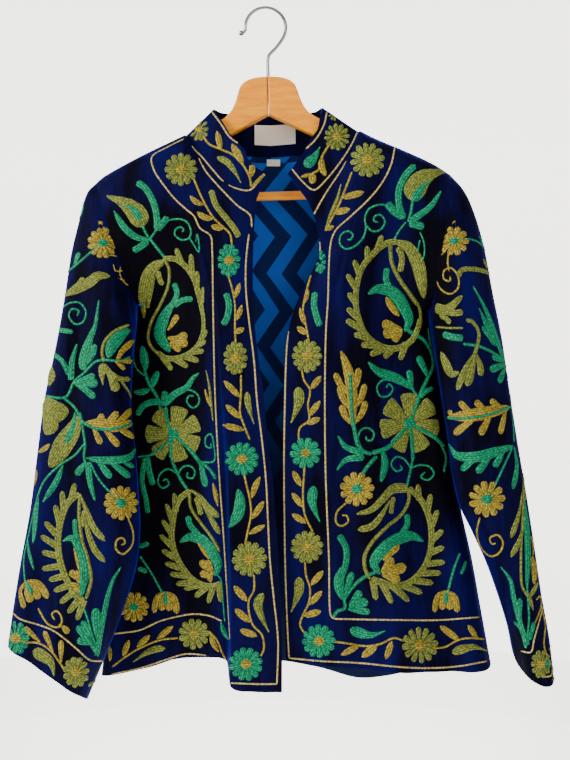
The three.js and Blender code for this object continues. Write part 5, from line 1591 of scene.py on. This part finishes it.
    # wreath above the cuff
    hoop.run("olive", along(trail(
        (79, 493), (68, 503), (61, 520), (58, 540), (60, 560), (66, 578), (75, 594), (84, 602)
    )), 8.5)
    hoop.leaves("olive", table(
        leaf_columns, (71, 500, 75, 483, 8.5, 0), (64, 513, 62, 491, 8.5, 0), (60, 524, 55, 505, 8.5, 0),
        (58, 536, 45, 522, 8.5, 0), (57, 546, 41, 536, 8.5, 0), (58, 556, 42, 552, 8.5, 0),
        (60, 566, 42, 569, 8.5, 0),
        (64, 576, 49, 580, 8.5, 0), (69, 585, 54, 591, 8.5, 0), (74, 592, 60, 603, 8.5, 0),
        (80, 598, 68, 613, 8.5, 0),
        (84, 600, 77, 620, 9, 0),
    ), "finger")
    stitch_all(hoop, (
        ("olive", 4.4, "even", trail((80, 494), (79, 515), (82, 540), (88, 560), (91, 580), (86, 599))),
        ("olive", 8.0, "petal", trail((80, 494), (87, 512), (94, 528), (105, 541))),
        ("olive", 8.0, "petal", trail((84, 512), (88, 532), (95, 550), (105, 562))),
        ("olive", 6.0, "even", trail((85, 510), (83, 520), (83, 527))),
        ("emerald", 6.0, "even", trail((75, 519), (75, 530), (78, 542))),
        ("emerald", 13, "leaf", trail((63, 541), (72, 538), (79, 548), (84, 570), (82, 590), (80, 598))),
        ("gold", 5.0, "leaf", trail((74, 548), (77, 558), (79, 570))),
    ))
    hoop.leaves("gold", table(
        leaf_columns, (79, 580, 70, 571, 9, 0), (79, 583, 77, 570, 9, 0), (79, 585, 69, 586, 9, 0),
        (79, 587, 76, 592, 9, 0),
    ), "petal")
    hoop.tulip(27, 581, -68, 34)
    hoop.daisy(103, 243, 18.5, "gold", "emerald", 12, 15)
    hoop.daisy(121, 503, 20.5, "gold", "emerald", 12, 3)
    hoop.daisy(16, 638, 20, "emerald", "gold", 11, 0, 0.8)
    hoop.daisy(76, 672, 18.5, "olive", "gold", 11, 4, 0.85)
    hoop.leaves("gold", table(
        leaf_columns, (40, 642, 24, 627, 7, 0), (53, 652, 44, 631, 7, 0), (61, 662, 61, 640, 7, 0),
    ), "petal")


def embroider_left_sleeve(hoop):
    stitch_all(hoop, (
        ("emerald", 2.8, "even", trail((454, 241), (466, 239), (476, 241), (483, 247), (487, 256))),
        ("emerald", 5.0, "leaf", trail((479, 236), (482, 243), (487, 255))),
        ("olive", 6.0, "leaf", trail((483, 259), (486, 265), (489, 270))),
        ("gold", 2.6, "even", trail(
            (446, 250), (438, 260), (436, 274), (440, 288), (450, 294), (458, 288), (458, 276),
         (451, 268), (444, 271), (444, 279), (450, 281), (450, 276))),
        ("olive", 6.0, "even", trail((458, 277), (462, 270), (473, 269), (484, 271), (490, 274))),
        ("emerald", 8.0, "taper", trail((503, 358), (494, 330), (484, 306), (473, 286))),
        ("emerald", 13, "drop", trail((479, 308), (487, 325), (497, 346))),
        ("emerald", 7.0, "petal", trail((496, 345), (490, 337), (482, 326))),
        ("olive", 5.0, "even", trail((466, 320), (473, 322), (479, 333), (477, 347), (474, 356))),
        ("emerald", 4.0, "even", trail((463, 344), (478, 346), (492, 352), (505, 361))),
        ("olive", 9.0, "petal", trail((474, 354), (465, 370), (457, 390))),
        ("olive", 11, "petal", trail((475, 355), (471, 372), (467, 386))),
        ("olive", 9.0, "petal", trail((476, 354), (480, 365), (481, 376))),
        ("olive", 12, "leaf", trail((441, 352), (446, 364), (452, 374), (459, 372))),
        ("olive", 13, "taper", trail((436, 308), (446, 310), (462, 296))),
        ("olive", 8.0, "even", trail((446, 312), (455, 313), (463, 312))),
        ("olive", 6.0, "even", trail((440, 316), (447, 319), (450, 324))),
        ("olive", 3.0, "even", trail((436, 327), (450, 328), (463, 328))),
        ("emerald", 9.0, "even", trail((443, 334), (452, 337), (463, 338))),
        ("emerald", 2.6, "even", trail((503, 358), (509, 385), (511, 405), (513, 425), (514, 442))),
        ("olive", 3.6, "even", trail((513, 400), (517, 420), (520, 445), (523, 470), (525, 500))),
        ("emerald", 3.4, "even", trail((512, 448), (503, 468), (495, 485), (488, 498))),
        ("emerald", 8.0, "petal", trail((514, 447), (517, 466), (513, 489))),
        ("gold", 2.8, "even", trail(
            (480, 517), (477, 532), (481, 547), (490, 556), (499, 553), (503, 543), (498, 535),
         (490, 538), (492, 544), (496, 543))),
        ("olive", 7.0, "drop", trail((522, 492), (519, 514), (511, 538))),
        ("olive", 7.0, "drop", trail((524, 512), (521, 537), (511, 557))),
        ("olive", 3.6, "even", trail(
            (523, 470), (523, 500), (522, 530), (521, 560), (522, 585), (528, 597)
        )),
        ("emerald", 10, "leaf", trail((524, 498), (527, 528), (528, 560), (527, 588))),
        ("emerald", 3.0, "even", trail((527, 585), (528, 600), (529, 620), (526, 645))),
        ("emerald", 9.0, "taper", trail((527, 645), (519, 620), (514, 600), (510, 580), (501, 567))),
        ("emerald", 8.0, "petal", trail((524, 634), (519, 616), (520, 598))),
        ("emerald", 5.0, "even", trail((526, 648), (521, 630), (514, 622))),
        ("emerald", 6.0, "even", trail((529, 640), (533, 628), (534, 622))),
        ("gold", 11, "leaf", trail((532, 556), (535, 570), (534, 584))),
        ("gold", 4.0, "leaf", trail((531, 536), (533, 546), (533, 556))),
        ("olive", 7.0, "leaf", trail((538, 582), (534, 590), (529, 598))),
        ("olive", 6.0, "leaf", trail((527, 592), (531, 602), (533, 610))),
        ("gold", 2.6, "even", trail((535, 623), (541, 606), (540, 596), (536, 600))),
        ("cord", 2.2, "even", trail((521, 651), (531, 652), (534, 640), (540, 618), (544, 604))),
        ("gold", 3.0, "even", trail((541, 605), (545, 625), (544, 645), (549, 662))),
        ("olive", 6.0, "leaf", trail((549, 620), (552, 634), (549, 650))),
    ))
    hoop.leaves("emerald", table(
        leaf_columns, (506, 362, 492, 356, 9, 0), (506, 364, 490, 370, 10, 0), (506, 366, 499, 383, 9, 0),
    ), "petal")
    hoop.run("gold", along(trail((448, 417), (465, 416), (485, 413), (510, 407))), 16, "leaf")
    hoop.leaves("gold", table(
        leaf_columns, (474, 416, 459, 402, 9, 0), (488, 413, 475, 401, 9, 0), (503, 409, 490, 400, 9, 0),
        (452, 418, 449, 410, 7, 0), (476, 417, 454, 434, 10, 0), (491, 414, 480, 435, 10, 0),
        (506, 409, 500, 434, 9, 0),
    ), "petal")
    hoop.run("emerald", along(trail((448, 418), (465, 418), (487, 415), (510, 407))), 3.8, "even", 0.8)
    hoop.run("emerald", along(trail(
        (449, 444), (456, 455), (476, 457), (495, 452), (513, 446)
    )), 13, "leaf")
    hoop.leaves("emerald", table(
        leaf_columns, (478, 456, 461, 470, 9, 0), (492, 454, 477, 473, 10, 0), (505, 450, 494, 467, 9, 0),
    ), "petal")
    hoop.daisy(454, 241, 17.5, "gold", "emerald", 10, 0)
    hoop.daisy(487, 499, 21.5, "gold", "emerald", 11, 3)
    hoop.daisy(541, 664, 17, "olive", "gold", 10, 0, 0.7)


# The collar: a corded band with a daisy, leaves and a drop at each front corner.
def embroider_collar(hoop):
    stitch_all(hoop, (
        ("cord", 2.2, "even", trail((212, 112), (221, 124), (228, 135), (233, 140), (238, 143))),
        ("cord", 2.2, "even", trail(
            (186, 138), (194, 149), (202, 157), (213, 170), (225, 183), (238, 189), (250, 190), (258, 182),
            (266, 173)
        )),
        ("gold", 3.2, "even", trail(
            (203, 136), (209, 144), (220, 149), (233, 155), (243, 165), (250, 178), (251, 187)
        )),
        ("gold", 5.0, "leaf", trail((251, 187), (258, 181), (265, 173))),
        ("olive", 9.0, "drop", trail((241, 183), (235, 172), (227, 162), (217, 157))),
        ("cord", 2.2, "even", trail(
            (292, 169), (303, 182), (314, 190), (325, 181), (336, 168), (346, 154), (353, 142), (358, 131)
        )),
        ("cord", 2.2, "even", trail((327, 112), (324, 125), (316, 139), (306, 149))),
        ("gold", 3.4, "even", trail((329, 145), (322, 157), (320, 168), (312, 174), (303, 177))),
        ("emerald", 13, "drop", trail((320, 147), (315, 156), (305, 167))),
    ))
    hoop.leaves("gold", table(
        leaf_columns, (221, 150, 217, 131, 8, 0), (243, 164, 232, 144, 10, 0),
        (250, 178, 251, 160, 8, -0.1),
        (322, 157, 326, 176, 9, -0.12), (313, 173, 312, 184, 10, 0), (312, 174, 301, 177, 5, 0),
    ))
    hoop.daisy(199, 129, 14.5, "olive", "gold", 10, 0, 0.8)
    hoop.daisy(337, 137, 16, "olive", "gold", 12, 6, 0.95)
    hoop.daisy(334, 114, 8, "olive", "gold", 9, 0, 0.8)


embroideries = (
    ("suzani_front_right", front_cloths["right"], False, embroider_right_front),
    ("suzani_front_left", front_cloths["left"], False, embroider_left_front),
    ("suzani_sleeve_right", sleeve_cloths["right"], False, embroider_right_sleeve),
    ("suzani_sleeve_left", sleeve_cloths["left"], False, embroider_left_sleeve),
    ("suzani_collar", collar_cloth, False, embroider_collar),
    ("suzani_sleeve_right_back", sleeve_cloths["right"], True, embroider_right_sleeve),
    ("suzani_sleeve_left_back", sleeve_cloths["left"], True, embroider_left_sleeve),
)
for name, cloth, behind, embroider in embroideries:
    hoop = Hoop(cloth, behind)
    embroider(hoop)
    hoop.finish(name)

# The back is one piece: the same field on both sides and a column of daisies down the middle.
hoop = Hoop(back_cloth, True)
embroider_right_front(hoop, False)
embroider_left_front(hoop, False)
for px, py, radius, petal, disc in (
    (268, 205, 24, "olive", "gold"), (268, 300, 26, "gold", "emerald"), (268, 400, 26, "emerald", "gold"),
    (268, 500, 26, "gold", "emerald"), (268, 590, 24, "olive", "gold"),
):
    hoop.daisy(px, py, radius, petal, disc, 12)
for top in (225, 320, 420, 520):
    hoop.run("gold", along(trail((268, top), (272, top + 15), (266, top + 35), (268, top + 55))), 2.8)
    hoop.leaves("gold", table(
        leaf_columns, (270, top + 22, 284, top + 10, 8, 0), (267, top + 34, 252, top + 24, 8, 0),
        (267, top + 46, 282, top + 38, 8, 0),
    ))
hoop.run("cord", along(trail((100, 640), (200, 632), (268, 640), (340, 652), (420, 640), (487, 630))), 2.2)
hem_daisies = table("px py", (132, 655), (196, 652), (268, 662), (340, 672), (408, 662), (466, 653))
for k, (px, py) in enumerate(zip(*hem_daisies.values())):
    hoop.daisy(px, py, 15, ("olive", "emerald", "gold")[k % 3], ("gold", "gold", "emerald")[k % 3], 10)
    hoop.leaves("gold", table(
        leaf_columns, (px + 18, py, px + 30, py - 7, 7, 0), (px + 18, py + 2, px + 31, py + 5, 7, 0),
        (px + 42, py + 1, px + 30, py - 1, 6, 0),
    ))
hoop.finish("suzani_back")


# The stage: a pale round floor that curves up far behind, so the picture shows only soft grey. Its plaster
# glows though it is no lamp: painted light, brightest in a wedge widening towards the back (+Y) and dim to
# the sides and the front.
stage_floor = -1.45
stage_radius = 7.0
stage_rings = [
    (0.0, 0.0), (2.5, 0.0), (4.0, 0.1), (5.5, 0.5), (6.6, 1.4), (stage_radius, 2.8), (stage_radius, 5.6)
]
stage_turns = 96
ring_points = [
    (
        radius * math.cos(2 * math.pi * k / stage_turns), radius * math.sin(2 * math.pi * k / stage_turns),
        stage_floor + z
    )
    for radius, z in stage_rings[1:]
    for k in range(stage_turns)
]
stage_faces = [[k, (k + 1) % stage_turns, stage_turns * len(stage_rings[1:])] for k in range(stage_turns)]
for ring in range(len(stage_rings) - 2):
    for k in range(stage_turns):
        after = (k + 1) % stage_turns
        base = ring * stage_turns
        stage_faces.append([base + k, base + after, base + stage_turns + after, base + stage_turns + k])
stage_mesh = bpy.data.meshes.new("stage")
stage_mesh.from_pydata(ring_points + [(0, 0, stage_floor)], [], stage_faces)
stage_mesh.polygons.foreach_set("use_smooth", np.ones(len(stage_faces), bool))
plaster = new_material("pale_plaster_painted_glow")
stage_place = add_node(plaster, "ShaderNodeTexCoord")
stage_depth = add_node(plaster, "ShaderNodeSeparateXYZ", [(stage_place, "Object", "Vector")])
aside = add_node(plaster, "ShaderNodeMath", [(stage_depth, "X", 0)], operation="ABSOLUTE")
opening = add_node(plaster, "ShaderNodeMath", [(stage_depth, "Y", 0)], operation="MULTIPLY")
opening.inputs[1].default_value = 0.42
glow_wedge = add_node(plaster, "ShaderNodeMath", [(opening, 0, 0), (aside, 0, 1)], operation="SUBTRACT")
# Strength of the painted glow: 0.35 at the sides and front, up to 3.2 in the wedge behind.
painted_wall_glow = add_node(plaster, "ShaderNodeMapRange", [(glow_wedge, 0, "Value")], interpolation_type="SMOOTHSTEP")
painted_wall_glow.inputs["From Min"].default_value = -1.4
painted_wall_glow.inputs["From Max"].default_value = 0.1
painted_wall_glow.inputs["To Min"].default_value = 0.35
painted_wall_glow.inputs["To Max"].default_value = 3.2
stage_mesh.materials.append(
    finish_material(
        plaster, add_node(
            plaster, "ShaderNodeBsdfPrincipled", [(painted_wall_glow, "Result", "Emission Strength")],
            Base_Color=linear("#ECEAE7"), Roughness=0.9, Emission_Color=linear("#F4F3EE"),
        )
    )
)
stage = bpy.data.objects.new("stage", stage_mesh)
bpy.context.collection.objects.link(stage)

world = bpy.data.worlds.new("pale_room")
world.use_nodes = True
world.node_tree.nodes["Background"].inputs["Color"].default_value = linear("#F1F2F4")
world.node_tree.nodes["Background"].inputs["Strength"].default_value = 0.18
bpy.context.scene.world = world

# Soft studio light: a window-sized key from the upper left, a weak fill and a light from above.
for name, spot, aim, size, power in (
    ("key", (-2.0, -1.15, 0.5), (0.0, 0.0, -0.42), 0.9, 92),
    ("fill", (1.2, -1.9, -0.1), (0.05, 0.0, -0.5), 1.6, 15),
    ("top", (0.2, -0.5, 1.5), (0.0, 0.0, -0.3), 1.2, 16),
    ("back", (0.4, 2.0, 0.6), (0.0, 0.0, -0.45), 1.6, 22),
):
    lamp = bpy.data.lights.new(name, "AREA")
    lamp.size = size
    lamp.energy = power
    holder = bpy.data.objects.new(name, lamp)
    holder.location = spot
    holder.rotation_euler = (Vector(aim) - Vector(spot)).to_track_quat("-Z", "Y").to_euler()
    bpy.context.collection.objects.link(holder)
